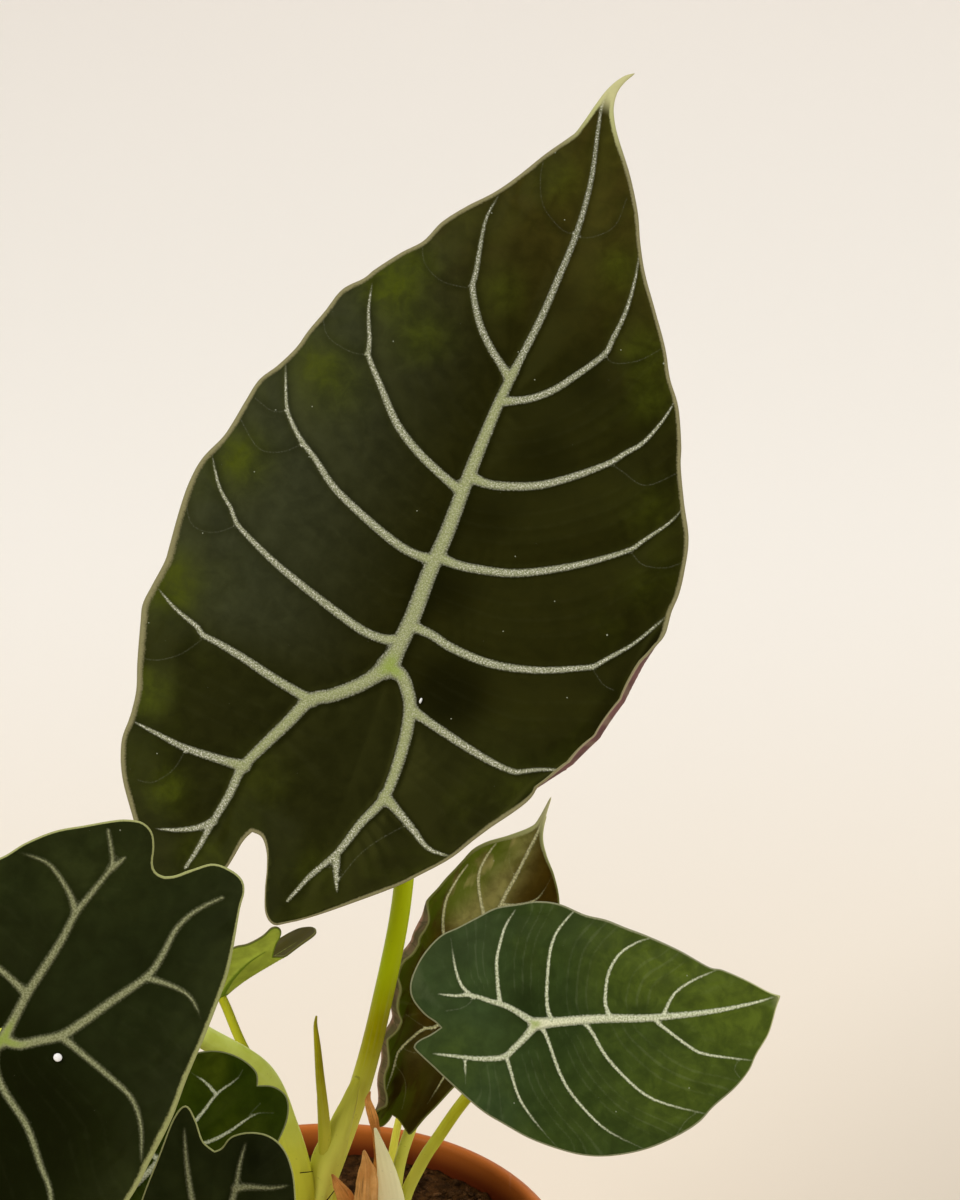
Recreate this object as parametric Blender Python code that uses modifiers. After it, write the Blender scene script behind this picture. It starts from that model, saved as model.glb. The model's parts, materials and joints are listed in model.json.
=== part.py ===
"""Alocasia longiloba in its terracotta-coloured nursery pot, in metres, +Z up.

The origin is the middle of the pot's foot. Each leaf is drawn flat in millimetres, with
the petiole's joint at (0, 0), the apex along +Y and the upper side facing +Z. It is then
bent by formula, given its thickness and turned to where it grows.
"""

import math

import bpy
from mathutils import Matrix, Vector
from mathutils.geometry import delaunay_2d_cdt

MM = 0.001

POT_HEIGHT = 120.0
RIM_RADIUS = 65.0
RIM_LIP = 4.5
RIM_SKIRT = 15.0
FOOT_RADIUS = 45.0
WALL = 2.0
FLOOR = 2.6
DRAIN_RADIUS = 4.0
DRAIN_CIRCLE = 29.0
DRAIN_COUNT = 6

SOIL_TOP = 113.3
SOIL_GAP = 0.35
STEM_GAP = 0.5
STEM_LEVEL = 112.0
STEM_DEPTH = 9.0
STEM_CLEAR = 0.4

BLADE = 0.85
VEIN_SPREAD = 1.9
VEIN_RISE = 0.3
THICKEST = 2.4

LEAVES = {
    "leaf_main": {
        "look": "dark leaf",
        "joint": (20.1, 0.0, 293.8),
        "apex": (0.345, 0.535, 0.771),
        "face": (-0.060, -0.808, 0.587),
        "right": [
            (3.0, 160.0), (1.5, 156.0), (1.5, 151.0), (3.5, 146.0), (11.4, 134.0), (18.0, 122.5),
            (26.0, 109.5), (34.0, 98.0), (42.0, 84.0), (48.5, 70.0), (55.5, 52.0), (58.5, 38.0),
            (57.5, 27.0), (54.5, 13.5), (50.5, 0.0), (43.0, -16.0), (33.5, -31.5), (22.5, -45.0),
            (8.5, -58.0), (-2.8, -65.5), (-7.0, -63.5), (-10.0, -57.5), (-12.2, -51.5),
            (-14.8, -48.3), (-17.5, -48.0),
        ],
        "left": [
            (3.0, 160.0), (0.2, 157.5), (-1.2, 153.0), (-4.5, 141.5), (-10.0, 133.5), (-18.0, 119.0),
            (-25.8, 109.5), (-32.5, 98.5), (-40.0, 87.5), (-45.5, 77.5), (-49.5, 66.5),
            (-54.0, 55.5), (-57.0, 45.0), (-60.5, 31.5), (-61.5, 19.5), (-60.8, 7.0),
            (-60.2, -4.0), (-58.0, -15.0), (-55.0, -27.0), (-52.5, -37.0), (-48.5, -44.5),
            (-41.5, -55.0), (-33.5, -64.5), (-25.5, -69.0), (-22.2, -65.5), (-19.8, -58.0),
            (-18.6, -51.0), (-17.5, -48.0),
        ],
        "veins": [
            (1.7, 0.4, [
                (0, 0), (1, 11), (0.5, 26), (1, 47), (1.5, 63), (2, 76),
                (4, 88), (6, 103), (5, 117), (3, 131), (0.5, 146), (0, 152),
            ]),
            (0.8, 0.3, [(1, 9), (14, 8), (29, 10), (39, 13), (46, 17), (54, 26)]),
            (0.8, 0.3, [(0.5, 28), (16, 30), (28, 35), (37, 40), (45, 45), (51, 53)]),
            (0.8, 0.3, [(1, 48), (16, 52), (25, 58), (33, 65), (38, 71), (41, 79)]),
            (0.7, 0.3, [(1.5, 70), (12, 76), (19, 84), (22, 89), (23, 98), (22, 110)]),
            (0.7, 0.3, [(2, 77), (-6, 83), (-12, 91), (-15, 95), (-17, 103), (-18, 111), (-17, 117)]),
            (0.8, 0.3, [(1, 46), (-14, 52), (-21, 58), (-28, 66), (-33, 70), (-35, 78), (-38, 86)]),
            (0.8, 0.3, [(0.5, 25), (-13, 29), (-25, 34), (-35, 40), (-40, 43), (-45, 49), (-50, 58)]),
            (0.8, 0.3, [(0.5, 5), (-17, 8), (-31, 13), (-42, 18), (-48, 20), (-53, 27), (-58, 33)]),
            (1.3, 0.5, [
                (0, 0), (-5, -7), (-16, -14), (-21, -24),
                (-26, -35), (-27, -44), (-28, -53), (-29, -61),
            ]),
            (0.6, 0.3, [(-28, -53), (-39, -56)]),
            (0.8, 0.3, [(-17, -15), (-32, -10), (-45, -8), (-52, -5), (-59, -1)]),
            (0.8, 0.3, [(-26, -34), (-40, -35), (-51, -34)]),
            (1.3, 0.5, [
                (0, 0), (8, -6), (10, -11), (10, -20),
                (9, -31), (6, -40), (3, -47), (-1, -54), (-3, -61),
            ]),
            (0.6, 0.3, [(3, -47), (7, -55)]),
            (0.8, 0.3, [(10, -10), (22, -12), (32, -13), (38, -13), (44, -12)]),
            (0.7, 0.3, [(9, -31), (17, -35), (22, -38), (29, -38)]),
        ],
        "arch": 0.6, "lobe_arch": 1.5, "fold": (4.0, 6.0), "cup": (-1.0, -0.5),
        "wave": 1.1, "quilt": 0.5,
        "curl": (1, [(-22, 37), (-8, 41), (2, 44), (15, 49), (30, 53), (42, 56)], 190.0),
        "outline_step": 5.2, "grid": 11.0,
        "stem": [
            (-4.5, 5.5, 112), (-3.2, 5.7, 124), (-0.4, 6.0, 137), (6.3, 8.0, 156.5), (11.3, 10.0, 172),
            (15.7, 14.0, 189.5), (20.8, 18.5, 215), (23.0, 19.5, 240), (23.2, 18.0, 265),
            (22.4, 14.0, 281),
        ],
        "stem_radius": (3.5, 2.5),
    },
    "leaf_left": {
        "look": "dark leaf",
        "joint": (-61.4, -105.0, 258.4),
        "apex": (-0.734, -0.186, -0.653),
        "face": (0.050, -0.974, 0.221),
        "right": [
            (0.0, 140.0), (1.2, 134.0), (7.0, 122.0), (19.0, 104.0), (31.0, 84.0), (40.0, 64.0),
            (45.5, 44.0), (46.5, 25.0), (44.0, 5.0), (38.0, -13.0), (31.0, -28.0), (28.0, -38.0),
            (24.0, -46.0), (20.0, -52.5), (15.5, -55.5), (11.5, -54.8), (7.0, -52.0), (3.0, -51.3),
        ],
        "left": [
            (0.0, 140.0), (-2.0, 133.0), (-9.0, 120.0), (-22.0, 103.0), (-33.5, 84.0), (-42.5, 64.0),
            (-47.5, 44.0), (-48.0, 25.0), (-44.5, 5.0), (-38.5, -13.0), (-34.0, -25.0),
            (-29.0, -35.0), (-24.0, -43.5), (-18.0, -52.0), (-12.5, -59.5), (-8.5, -62.5),
            (-4.5, -61.5), (-1.5, -57.5), (0.2, -54.0), (3.0, -51.3),
        ],
        "veins": [
            (1.6, 0.4, [(0, 0), (-1, 20), (0, 45), (1, 70), (1, 95), (0, 118), (0, 134)]),
            (1.3, 0.4, [(0, 0), (5, -11), (9, -22), (11, -32), (12, -45), (17, -51)]),
            (0.6, 0.3, [(12, -45), (11.5, -51)]),
            (0.7, 0.3, [(11, -32), (21, -35), (27, -33)]),
            (0.7, 0.3, [(5, -11), (14, -11), (26, -7), (35, 1), (40, 10)]),
            (1.3, 0.4, [(0, 0), (-9, -10), (-11, -23), (-12, -33), (-8, -45), (-9, -56)]),
            (0.7, 0.3, [(-12, -33), (-20, -36), (-25, -35)]),
            (0.8, 0.3, [(-9, -10), (-27, -11), (-38, -4)]),
            (0.8, 0.3, [(-1, 3), (-8, 8), (-19, 12), (-33, 18), (-43, 30)]),
            (0.8, 0.3, [(-0.5, 22), (12, 25), (26, 33), (36, 43), (41, 53)]),
            (0.8, 0.3, [(-0.5, 30), (-14, 34), (-28, 43), (-38, 55), (-41, 64)]),
            (0.8, 0.3, [(0, 45), (12, 50), (24, 59), (32, 69), (34, 76)]),
            (0.7, 0.3, [(0.5, 57), (-12, 64), (-23, 76), (-28, 88)]),
            (0.7, 0.3, [(1, 72), (10, 79), (17, 90), (19, 100)]),
            (0.7, 0.3, [(1, 86), (-8, 94), (-13, 106)]),
        ],
        "arch": 1.6, "lobe_arch": 1.2, "fold": (6.0, 6.0), "cup": (-1.2, -1.0),
        "wave": 1.3, "quilt": 0.5, "outline_step": 5.6, "grid": 12.0,
        "stem": [
            (-3.0, -4.2, 112), (-3.4, -5.0, 130), (-4.4, -6.0, 149.5), (-7.8, -8.0, 168),
            (-13.2, -13.0, 187.5), (-25.5, -24.0, 205), (-36.5, -45.0, 227), (-48.5, -74.0, 246.5),
        ],
        "stem_radius": (3.4, 2.6),
    },
    "leaf_right": {
        "look": "green leaf",
        "joint": (53.9, -45.0, 222.8),
        "apex": (0.989, 0.144, 0.028),
        "face": (0.101, -0.805, 0.584),
        "right": [
            (-0.5, 60.5), (3.0, 58.5), (8.8, 55.5), (15.3, 51.5), (22.0, 45.3), (27.2, 38.2), (30.8, 30.4),
            (33.3, 22.0), (33.3, 12.5), (30.6, 2.5), (25.4, -6.8), (19.2, -14.2), (12.0, -21.5),
            (6.2, -26.3), (1.5, -29.0), (-0.6, -26.5), (-2.0, -22.0),
        ],
        "left": [
            (-0.5, 60.5), (-3.0, 57.0), (-8.5, 47.0), (-15.0, 35.0), (-22.0, 22.0), (-27.0, 11.0),
            (-28.8, 3.0), (-28.0, -6.0), (-24.5, -14.0), (-20.5, -21.0), (-16.0, -26.0),
            (-11.0, -28.5), (-6.0, -27.0), (-3.2, -23.4), (-2.0, -22.0),
        ],
        "veins": [
            (1.25, 0.35, [(0, 0), (1, 17), (1, 30), (1, 46), (-0.5, 57)]),
            (0.9, 0.3, [(0, 0), (-7, -8), (-9, -16), (-9.5, -23)]),
            (0.7, 0.3, [(-7, -8), (-14, -7.5), (-20, -5.5), (-27, -2)]),
            (0.6, 0.3, [(-9, -16), (-13, -18), (-18, -18)]),
            (0.6, 0.3, [(0.2, 4), (-12, 5), (-19, 7), (-25, 12)]),
            (0.6, 0.3, [(1, 17), (-10, 19), (-16, 23), (-18, 30)]),
            (0.6, 0.3, [(1, 31), (-4, 34), (-8, 43)]),
            (0.9, 0.3, [(0, 0), (7, -7), (6.5, -17), (5, -24)]),
            (0.5, 0.3, [(6.5, -17), (12, -18)]),
            (0.7, 0.3, [(7, -7), (18, -5), (27, 0)]),
            (0.6, 0.3, [(0, 0.5), (15, 6), (25, 13), (30, 20)]),
            (0.6, 0.3, [(1, 12), (11, 17), (20, 26), (25, 36)]),
            (0.6, 0.3, [(1, 30), (11, 39), (14, 49)]),
        ],
        "arch": 2.0, "lobe_arch": 2.0, "fold": (2.0, 2.0), "cup": (-3.0, -3.0),
        "wave": 0.5, "quilt": 0.35, "outline_step": 4.0, "grid": 8.0,
        "stem": [
            (20.5, -5.5, 112), (21.3, -6.6, 128), (22.4, -8.0, 145), (26.0, -11.5, 159),
            (31.0, -16.0, 170), (38.3, -22.5, 186), (46.5, -30.0, 202.5),
        ],
        "stem_radius": (2.1, 1.5),
    },
    "leaf_young": {
        "look": "young leaf",
        "joint": (36.3, 32.0, 178.5),
        "apex": (0.403, 0.450, 0.797),
        "face": (-0.299, -0.758, 0.579),
        "right": [
            (-0.8, 59.0), (0.4, 53.5), (3.0, 48.5), (8.0, 43.5), (12.0, 36.5), (16.0, 26.0), (18.5, 13.0),
            (18.0, 0.0), (13.5, -11.0), (8.0, -20.0), (4.8, -28.0), (2.0, -36.0), (-1.5, -34.8),
            (-4.0, -33.5),
        ],
        "left": [
            (-0.8, 59.0), (-1.5, 53.0), (-4.5, 48.0), (-11.0, 43.5), (-17.0, 36.5), (-21.5, 26.0),
            (-24.5, 14.0), (-25.5, 2.0), (-23.5, -10.0), (-19.5, -20.0), (-14.5, -29.0),
            (-9.0, -36.5), (-6.0, -36.5), (-4.0, -33.5),
        ],
        "veins": [
            (0.8, 0.3, [(0, 0), (-0.5, 14), (-1.5, 28), (-1, 36), (0, 42), (0, 52)]),
            (0.6, 0.3, [(0, 0), (-6, -10), (-8.5, -20), (-9, -29)]),
            (0.6, 0.3, [(0, 0), (5, -10), (5.5, -20), (3, -30)]),
            (0.5, 0.3, [(-1.5, 24), (-7, 27), (-11, 33), (-12.5, 39)]),
            (0.5, 0.3, [(-0.8, 10), (-8, 12), (-15, 17), (-18, 24)]),
            (0.5, 0.3, [(-0.5, 3), (-11, 3), (-20, 6)]),
            (0.5, 0.3, [(-1.5, 27), (4, 32), (7, 40)]),
            (0.5, 0.3, [(-0.8, 10), (8, 14), (12, 20), (14, 26)]),
        ],
        "arch": 0.5, "lobe_arch": 2.0, "fold": (14.0, 14.0), "cup": (0.0, 0.0),
        "wave": 0.6, "quilt": 0.3,
        "curl": (-1, [
            (-37, 6), (-28, 10), (-16, 14.5), (0, 18.5), (14, 18.5), (27, 15.5), (38, 11), (47, 5),
        ], 330.0),
        "outline_step": 3.6, "grid": 6.5,
        "stem": [
            (16.8, 5.0, 112), (18.0, 8.0, 126), (19.8, 14.0, 140), (23.1, 22.0, 147.5),
            (28.3, 33.0, 156.5), (34.0, 38.5, 168),
        ],
        "stem_radius": (1.9, 1.3),
    },
    "leaf_small": {
        "look": "green leaf",
        "joint": (-33.6, -47.0, 187.9),
        "apex": (-0.705, -0.425, -0.567),
        "face": (0.0, -0.800, 0.600),
        "right": [
            (0.0, 48.0), (3.5, 41.0), (10.5, 29.0), (16.5, 15.0), (18.5, 1.0), (16.5, -12.0),
            (12.0, -21.0), (8.0, -25.5), (3.0, -27.8), (-1.5, -28.0), (-4.0, -26.0),
        ],
        "left": [
            (0.0, 48.0), (-4.0, 41.0), (-11.5, 29.0), (-17.5, 15.0), (-20.5, 1.0), (-19.5, -11.0),
            (-17.0, -20.0), (-14.5, -25.8), (-11.0, -29.0), (-7.0, -28.6), (-4.0, -26.0),
        ],
        "veins": [
            (0.8, 0.3, [(0, 0), (0, 15), (0.5, 30), (0, 44)]),
            (0.7, 0.3, [(0, 0), (1, -10), (2, -18), (1, -24)]),
            (0.5, 0.3, [(2, -18), (8, -19)]),
            (0.7, 0.3, [(0, 0), (-5, -8), (-7, -14), (-9, -23)]),
            (0.5, 0.3, [(0, 3), (9, 4), (15, 9)]),
            (0.5, 0.3, [(0, 3), (-10, 4), (-17, 9)]),
            (0.5, 0.3, [(0, 16), (7, 20), (11, 26)]),
            (0.5, 0.3, [(0, 16), (-8, 20), (-12, 26)]),
        ],
        "arch": 3.0, "lobe_arch": 2.0, "fold": (4.0, 4.0), "cup": (-3.0, -3.0),
        "wave": 0.4, "quilt": 0.25, "outline_step": 5.0, "grid": 9.0,
        "stem": [
            (-10.6, -2.6, 112), (-12.4, -4.8, 126), (-16.5, -9.5, 142), (-23.5, -16.0, 157),
            (-30.5, -30.0, 171),
        ],
        "stem_radius": (1.5, 1.1),
    },
    "leaf_low": {
        "look": "dark leaf",
        "joint": (-21.2, -78.0, 178.9),
        "apex": (-0.106, -0.368, -0.924),
        "face": (0.0, -0.929, 0.370),
        "right": [
            (0.0, 78.0), (3.0, 70.0), (9.5, 56.0), (15.5, 41.0), (19.5, 26.0), (21.0, 12.0), (20.0, 0.0),
            (17.5, -13.0), (14.5, -24.0), (12.0, -33.0), (9.6, -36.2), (7.2, -33.0), (5.0, -28.2),
            (2.0, -26.0),
        ],
        "left": [
            (0.0, 78.0), (-3.5, 69.0), (-10.0, 55.0), (-16.0, 41.0), (-20.0, 26.0), (-21.5, 11.0),
            (-20.0, -4.0), (-18.0, -15.0), (-16.5, -23.0), (-13.8, -28.6), (-10.0, -31.2),
            (-5.5, -31.4), (-1.5, -29.8), (0.3, -27.0), (2.0, -26.0),
        ],
        "veins": [
            (1.0, 0.3, [(0, 0), (0, 20), (0.5, 40), (0.5, 60), (0, 73)]),
            (0.8, 0.3, [(0, 0), (5, -11), (8, -22), (9.5, -31)]),
            (0.8, 0.3, [(0, 0), (-3, -9), (-4, -17), (-4, -26)]),
            (0.6, 0.3, [(-4, -17), (-9, -19.5), (-14, -20)]),
            (0.6, 0.3, [(0, 2), (9, 2), (17, 7)]),
            (0.6, 0.3, [(0, 2), (-9, 1), (-18, 5)]),
            (0.6, 0.3, [(0, 20), (9, 24), (16, 32)]),
            (0.6, 0.3, [(0, 20), (-9, 24), (-16, 32)]),
            (0.5, 0.3, [(0.5, 38), (6, 43), (10, 50)]),
            (0.5, 0.3, [(0.5, 38), (-6, 43), (-10, 50)]),
        ],
        "arch": 2.5, "lobe_arch": 2.0, "fold": (4.0, 4.0), "cup": (-3.0, -3.0),
        "wave": 0.5, "quilt": 0.3, "outline_step": 5.2, "grid": 9.0,
        "stem": [
            (-4.4, -13.0, 112), (-5.6, -16.0, 124), (-9.0, -25.0, 141), (-14.0, -41.0, 161),
            (-18.6, -58.0, 174),
        ],
        "stem_radius": (1.7, 1.2),
    },
    "leaf_curled": {
        "look": "green leaf",
        "joint": (-25.2, 14.0, 193.6),
        "apex": (-0.830, -0.080, -0.500),
        "face": (-0.420, 0.420, 0.800),
        "right": [
            (0.0, 44.0), (2.5, 38.0), (8.0, 27.0), (12.0, 14.0), (13.0, 2.0), (12.5, -9.0), (11.0, -19.0),
            (8.0, -26.0), (5.0, -28.0), (2.5, -23.0), (0.5, -15.0), (-0.5, -12.0),
        ],
        "left": [
            (0.0, 44.0), (-3.0, 38.0), (-9.0, 27.0), (-13.0, 14.0), (-14.0, 2.0), (-13.5, -8.0),
            (-11.5, -16.0), (-8.0, -20.5), (-4.8, -21.0), (-2.5, -16.5), (-0.5, -12.0),
        ],
        "veins": [
            (0.7, 0.3, [(0, 0), (0, 14), (0, 28), (0, 40)]),
            (0.6, 0.3, [(0, 0), (4, -8), (6, -16), (6, -23)]),
            (0.6, 0.3, [(0, 0), (-4, -6), (-6, -12), (-6, -17)]),
            (0.5, 0.3, [(0, 12), (6, 15), (9, 20)]),
            (0.5, 0.3, [(0, 12), (-6, 15), (-9, 20)]),
        ],
        "arch": 4.0, "lobe_arch": 2.0, "fold": (38.0, 12.0), "cup": (8.0, 4.0),
        "wave": 0.5, "quilt": 0.2, "outline_step": 4.6, "grid": 8.0,
        "stem": [
            (-11.0, 5.0, 112), (-9.6, 5.2, 126), (-8.0, 5.4, 140), (-10.0, 5.6, 156), (-14.7, 7.0, 171),
            (-20.0, 9.5, 182.0),
        ],
        "stem_radius": (1.4, 1.2),
    },
}

# Each material's colour and roughness.
COLOURS = {
    "dark leaf": ((0.018, 0.028, 0.012), 0.45),
    "green leaf": ((0.020, 0.062, 0.020), 0.45),
    "young leaf": ((0.110, 0.075, 0.022), 0.50),
    "petiole": ((0.330, 0.390, 0.085), 0.40),
    "new shoot": ((0.400, 0.430, 0.110), 0.40),
    "pale sheath": ((0.640, 0.640, 0.400), 0.50),
    "dry sheath": ((0.430, 0.190, 0.080), 0.80),
    "pot plastic": ((0.460, 0.115, 0.045), 0.42),
    "soil": ((0.030, 0.017, 0.011), 0.95),
}

# Rolled shoots: points up the middle, with the radius at each.
SHOOTS = {
    "new_leaf_spike": [
        (3.8, -3.4, 112, 1.9), (3.4, -3.8, 128, 2.1), (2.4, -4.2, 146, 2.0), (1.7, -4.0, 157, 1.8),
        (1.4, -3.4, 168, 1.5), (0.7, -2.6, 179, 1.15), (0.2, -1.9, 188, 0.85), (-0.2, -1.4, 194, 0.5),
        (0.1, -1.2, 196.6, 0.35),
    ],
    "second_shoot": [
        (13.0, 12.5, 112, 1.3), (15.0, 14.5, 122, 1.3), (16.7, 18.0, 131, 1.2), (18.2, 23.0, 140, 1.1),
        (20.1, 29.5, 147, 0.95), (22.5, 37.0, 152.5, 0.75), (24.6, 44.0, 158, 0.5),
    ],
}

# Sheaths: points up the middle, with half the width, half the thickness and the turn about Z.
SHEATHS = {
    "pale_sheath": [
        (17.6, -12.6, 112, 3.0, 1.5, 10), (18.2, -12.6, 130, 3.5, 1.7, 10),
        (18.3, -12.5, 146, 3.3, 1.6, 12), (17.4, -12.3, 155, 2.5, 1.3, 14),
        (16.0, -12.0, 162, 1.5, 0.9, 16), (13.5, -11.6, 169, 0.5, 0.45, 18),
    ],
    "dry_sheath_large": [
        (10.6, -19.4, 112, 2.6, 0.7, -20), (11.2, -19.6, 130, 3.4, 0.7, -20),
        (12.2, -19.2, 147, 3.4, 0.6, -16), (12.7, -18.6, 155, 2.4, 0.55, -12),
        (13.3, -17.4, 162, 1.5, 0.5, -8), (13.6, -16.6, 167, 0.6, 0.45, -4),
    ],
    "dry_sheath_small": [
        (4.2, -13.4, 112, 2.2, 0.6, 30), (5.6, -14.2, 130, 2.7, 0.6, 28),
        (5.9, -14.4, 144, 2.4, 0.55, 26), (4.8, -14.2, 151, 1.6, 0.5, 24),
        (3.4, -13.8, 156, 0.6, 0.42, 20),
    ],
    "dry_curl": [
        (11.2, 1.6, 112, 1.6, 0.6, -35), (13.4, 1.2, 130, 1.5, 0.55, -35),
        (14.8, 0.6, 150, 1.1, 0.5, -20), (14.4, 0.4, 161, 0.9, 0.45, 0),
        (12.9, 0.6, 168, 0.7, 0.42, 25), (13.3, 1.0, 173, 0.42, 0.4, 40),
    ],
}


def smooth(points, step):
    """A Catmull-Rom curve through the points, at about the step."""
    ends = [points[0]] + list(points) + [points[-1]]
    found = []
    for a, b, c, d in zip(ends, ends[1:], ends[2:], ends[3:]):
        count = max(1, round(math.dist(b[:2], c[:2]) / step))
        for i in range(count):
            t = i / count
            found.append(tuple(
                q + 0.5 * t * (r - p + t * (2 * p - 5 * q + 4 * r - s + t * (3 * q - p - 3 * r + s)))
                for p, q, r, s in zip(a, b, c, d)
            ))
    found.append(tuple(points[-1]))
    return found


def spaced(points, step):
    """The same line with its points about one step apart, both ends kept."""
    lengths = [0.0]
    for a, b in zip(points, points[1:]):
        lengths.append(lengths[-1] + math.dist(a, b))
    count = max(1, round(lengths[-1] / step))
    found = []
    at = 0
    for i in range(count + 1):
        wanted = lengths[-1] * i / count
        while at < len(points) - 2 and lengths[at + 1] < wanted:
            at += 1
        part = (wanted - lengths[at]) / max(lengths[at + 1] - lengths[at], 1e-9)
        found.append(tuple(p + (q - p) * part for p, q in zip(points[at], points[at + 1])))
    return found


def reading(table, at):
    """The second value of the table at this first value, between its rows."""
    if at <= table[0][0]:
        return table[0][1]
    for (a, low), (b, high) in zip(table, table[1:]):
        if at <= b:
            return low + (high - low) * (at - a) / (b - a)
    return table[-1][1]


def turned(length, start, curvature):
    """How far along and up an arc gets that starts at this angle."""
    if abs(curvature) < 1e-6:
        return length * math.cos(start), length * math.sin(start)
    end = start + curvature * length
    return (math.sin(end) - math.sin(start)) / curvature, (math.cos(start) - math.cos(end)) / curvature


def bent(leaf, x, y, height):
    """Where a point of the flat leaf goes, in millimetres; curvatures are per metre."""
    side = 1 if x >= 0 else -1
    across = abs(x)
    fold = math.radians(leaf["fold"][0 if side < 0 else 1])
    cup = leaf["cup"][0 if side < 0 else 1] * MM
    out, up = turned(across, fold, cup)
    lean = fold + cup * across
    if "curl" in leaf and leaf["curl"][0] == side:
        table = leaf["curl"][1]
        start = reading(table, y)
        inside = max(0.0, min(1.0, (y - table[0][0]) / 12, (table[-1][0] - y) / 12))
        if across > start and inside > 0:
            out, up = turned(start, fold, cup)
            bend = cup + leaf["curl"][2] * MM * inside
            more, rise = turned(across - start, fold + cup * start, bend)
            out += more
            up += rise
            lean = fold + cup * across + leaf["curl"][2] * MM * inside * (across - start)
    edge = min(1.0, across / leaf["width"]) ** 2
    ripple = leaf["wave"] * edge * math.sin(y / 9.0 + 1.3 * side)
    quilt = leaf["quilt"] * math.sin(y / 3.6) * math.sin(min(1.0, across / leaf["width"]) * math.pi)
    raised = height + ripple + quilt
    out -= raised * math.sin(lean)
    up += raised * math.cos(lean)
    curvature = (leaf["arch"] if y >= 0 else -leaf["lobe_arch"]) * MM
    along, drop = turned(y, 0.0, curvature)
    tilt = curvature * y
    return Vector((side * out, along + up * math.sin(tilt), up * math.cos(tilt) - drop)) * MM


def vein_distance(veins, x, y):
    """How deep inside the nearest vein the point lies: 1 on its middle line, 0 at its foot."""
    inside = 0.0
    rise = 0.0
    for wide, narrow, line in veins:
        whole = sum(math.dist(a, b) for a, b in zip(line, line[1:]))
        done = 0.0
        for a, b in zip(line, line[1:]):
            length = math.dist(a, b)
            t = ((x - a[0]) * (b[0] - a[0]) + (y - a[1]) * (b[1] - a[1])) / length ** 2
            t = max(0.0, min(1.0, t))
            gap = math.dist((x, y), (a[0] + (b[0] - a[0]) * t, a[1] + (b[1] - a[1]) * t))
            half = wide + (narrow - wide) * (done + t * length) / whole
            done += length
            near = max(0.0, 1 - gap / (half * VEIN_SPREAD))
            if near * half > rise:
                rise = near * half
            inside = max(inside, near)
    return inside, rise


def blade_depth(wide):
    """How far the underside lies below the flat leaf where a vein this wide runs."""
    return BLADE * (1 + (THICKEST - 1) * min(1.0, 0.6 * wide)) - VEIN_RISE * wide


def placing(joint, apex, face):
    """The matrix that lays a leaf's own axes where it grows."""
    along = Vector(apex).normalized()
    across = along.cross(Vector(face)).normalized()
    normal = across.cross(along)
    turn = Matrix((across, along, normal)).transposed().to_4x4()
    return Matrix.Translation(Vector(joint) * MM) @ turn


def material(name):
    """A plain material in the piece's colour, made once."""
    if name in bpy.data.materials:
        return bpy.data.materials[name]
    colour, roughness = COLOURS[name]
    made = bpy.data.materials.new(name)
    made.use_nodes = True
    shader = made.node_tree.nodes["Principled BSDF"]
    shader.inputs["Base Color"].default_value = colour + (1.0,)
    shader.inputs["Roughness"].default_value = roughness
    shader.inputs["Metallic"].default_value = 0.0
    return made


def add_object(name, data, collection, look=None):
    obj = bpy.data.objects.new(name, data)
    collection.objects.link(obj)
    if look:
        data.materials.append(material(look))
    return obj


def blade(name, leaf, collection):
    """The leaf blade: outline and vein lines, triangulated, bent, then thickened."""
    right = spaced(smooth(leaf["right"], 2.0), leaf["outline_step"])
    left = spaced(smooth(leaf["left"], 2.0), leaf["outline_step"])
    outline = left[:-1] + right[:0:-1]
    leaf["width"] = max(abs(x) for x, _ in outline)
    points = [Vector(point) for point in outline]
    edges = [(i, (i + 1) % len(outline)) for i in range(len(outline))]
    faces = [list(range(len(outline)))[::-1]]
    lines = []
    for wide, narrow, line in leaf["veins"]:
        line = spaced(smooth(line, 2.0), leaf["grid"] * 0.8)
        lines.append((wide, narrow, line))
        rails = [line]
        if wide > 0.6:
            for hand in (-1, 1):
                rail = []
                for i, (x, y) in enumerate(line):
                    before = Vector(line[max(0, i - 1)])
                    after = Vector(line[min(len(line) - 1, i + 1)])
                    across = (after - before).normalized().orthogonal() * hand
                    half = (wide + (narrow - wide) * i / (len(line) - 1)) * VEIN_SPREAD
                    rail.append((x + across.x * half, y + across.y * half))
                rails.append(rail)
        for rail in rails:
            first = len(points)
            points += [Vector(point) for point in rail]
            edges += [(first + i, first + i + 1) for i in range(len(rail) - 1)]
    step = leaf["grid"]
    for row in range(-int(90 / step), int(170 / step)):
        for column in range(-int(75 / step), int(75 / step)):
            x = (column + 0.5 * (row % 2)) * step
            y = row * step * 0.87
            clear = min(math.dist((x, y), point) for point in outline)
            crowd = min(math.dist((x, y), tuple(point)) for point in points[len(outline):])
            if clear > step * 0.45 and crowd > step * 0.5:
                points.append(Vector((x, y)))
    flat, _, triangles, *_ = delaunay_2d_cdt(points, edges, faces, 1, 1e-4)
    mesh = bpy.data.meshes.new(name)
    shaped = []
    thick = []
    for x, y in flat:
        inside, rise = vein_distance(lines, x, y)
        shaped.append(bent(leaf, x, y, VEIN_RISE * rise))
        thick.append(min(1.0, 0.6 * rise))
    mesh.from_pydata(shaped, [], [tuple(face) for face in triangles])
    obj = add_object(name, mesh, collection, leaf["look"])
    obj.matrix_world = placing(leaf["joint"], leaf["apex"], leaf["face"])
    weights = obj.vertex_groups.new(name="veins")
    for i, weight in enumerate(thick):
        weights.add([i], weight, "REPLACE")
    solid = obj.modifiers.new("Blade thickness", "SOLIDIFY")
    solid.thickness = THICKEST * BLADE * MM
    solid.offset = -1
    solid.vertex_group = "veins"
    solid.thickness_vertex_group = 1 / THICKEST
    return obj


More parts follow.
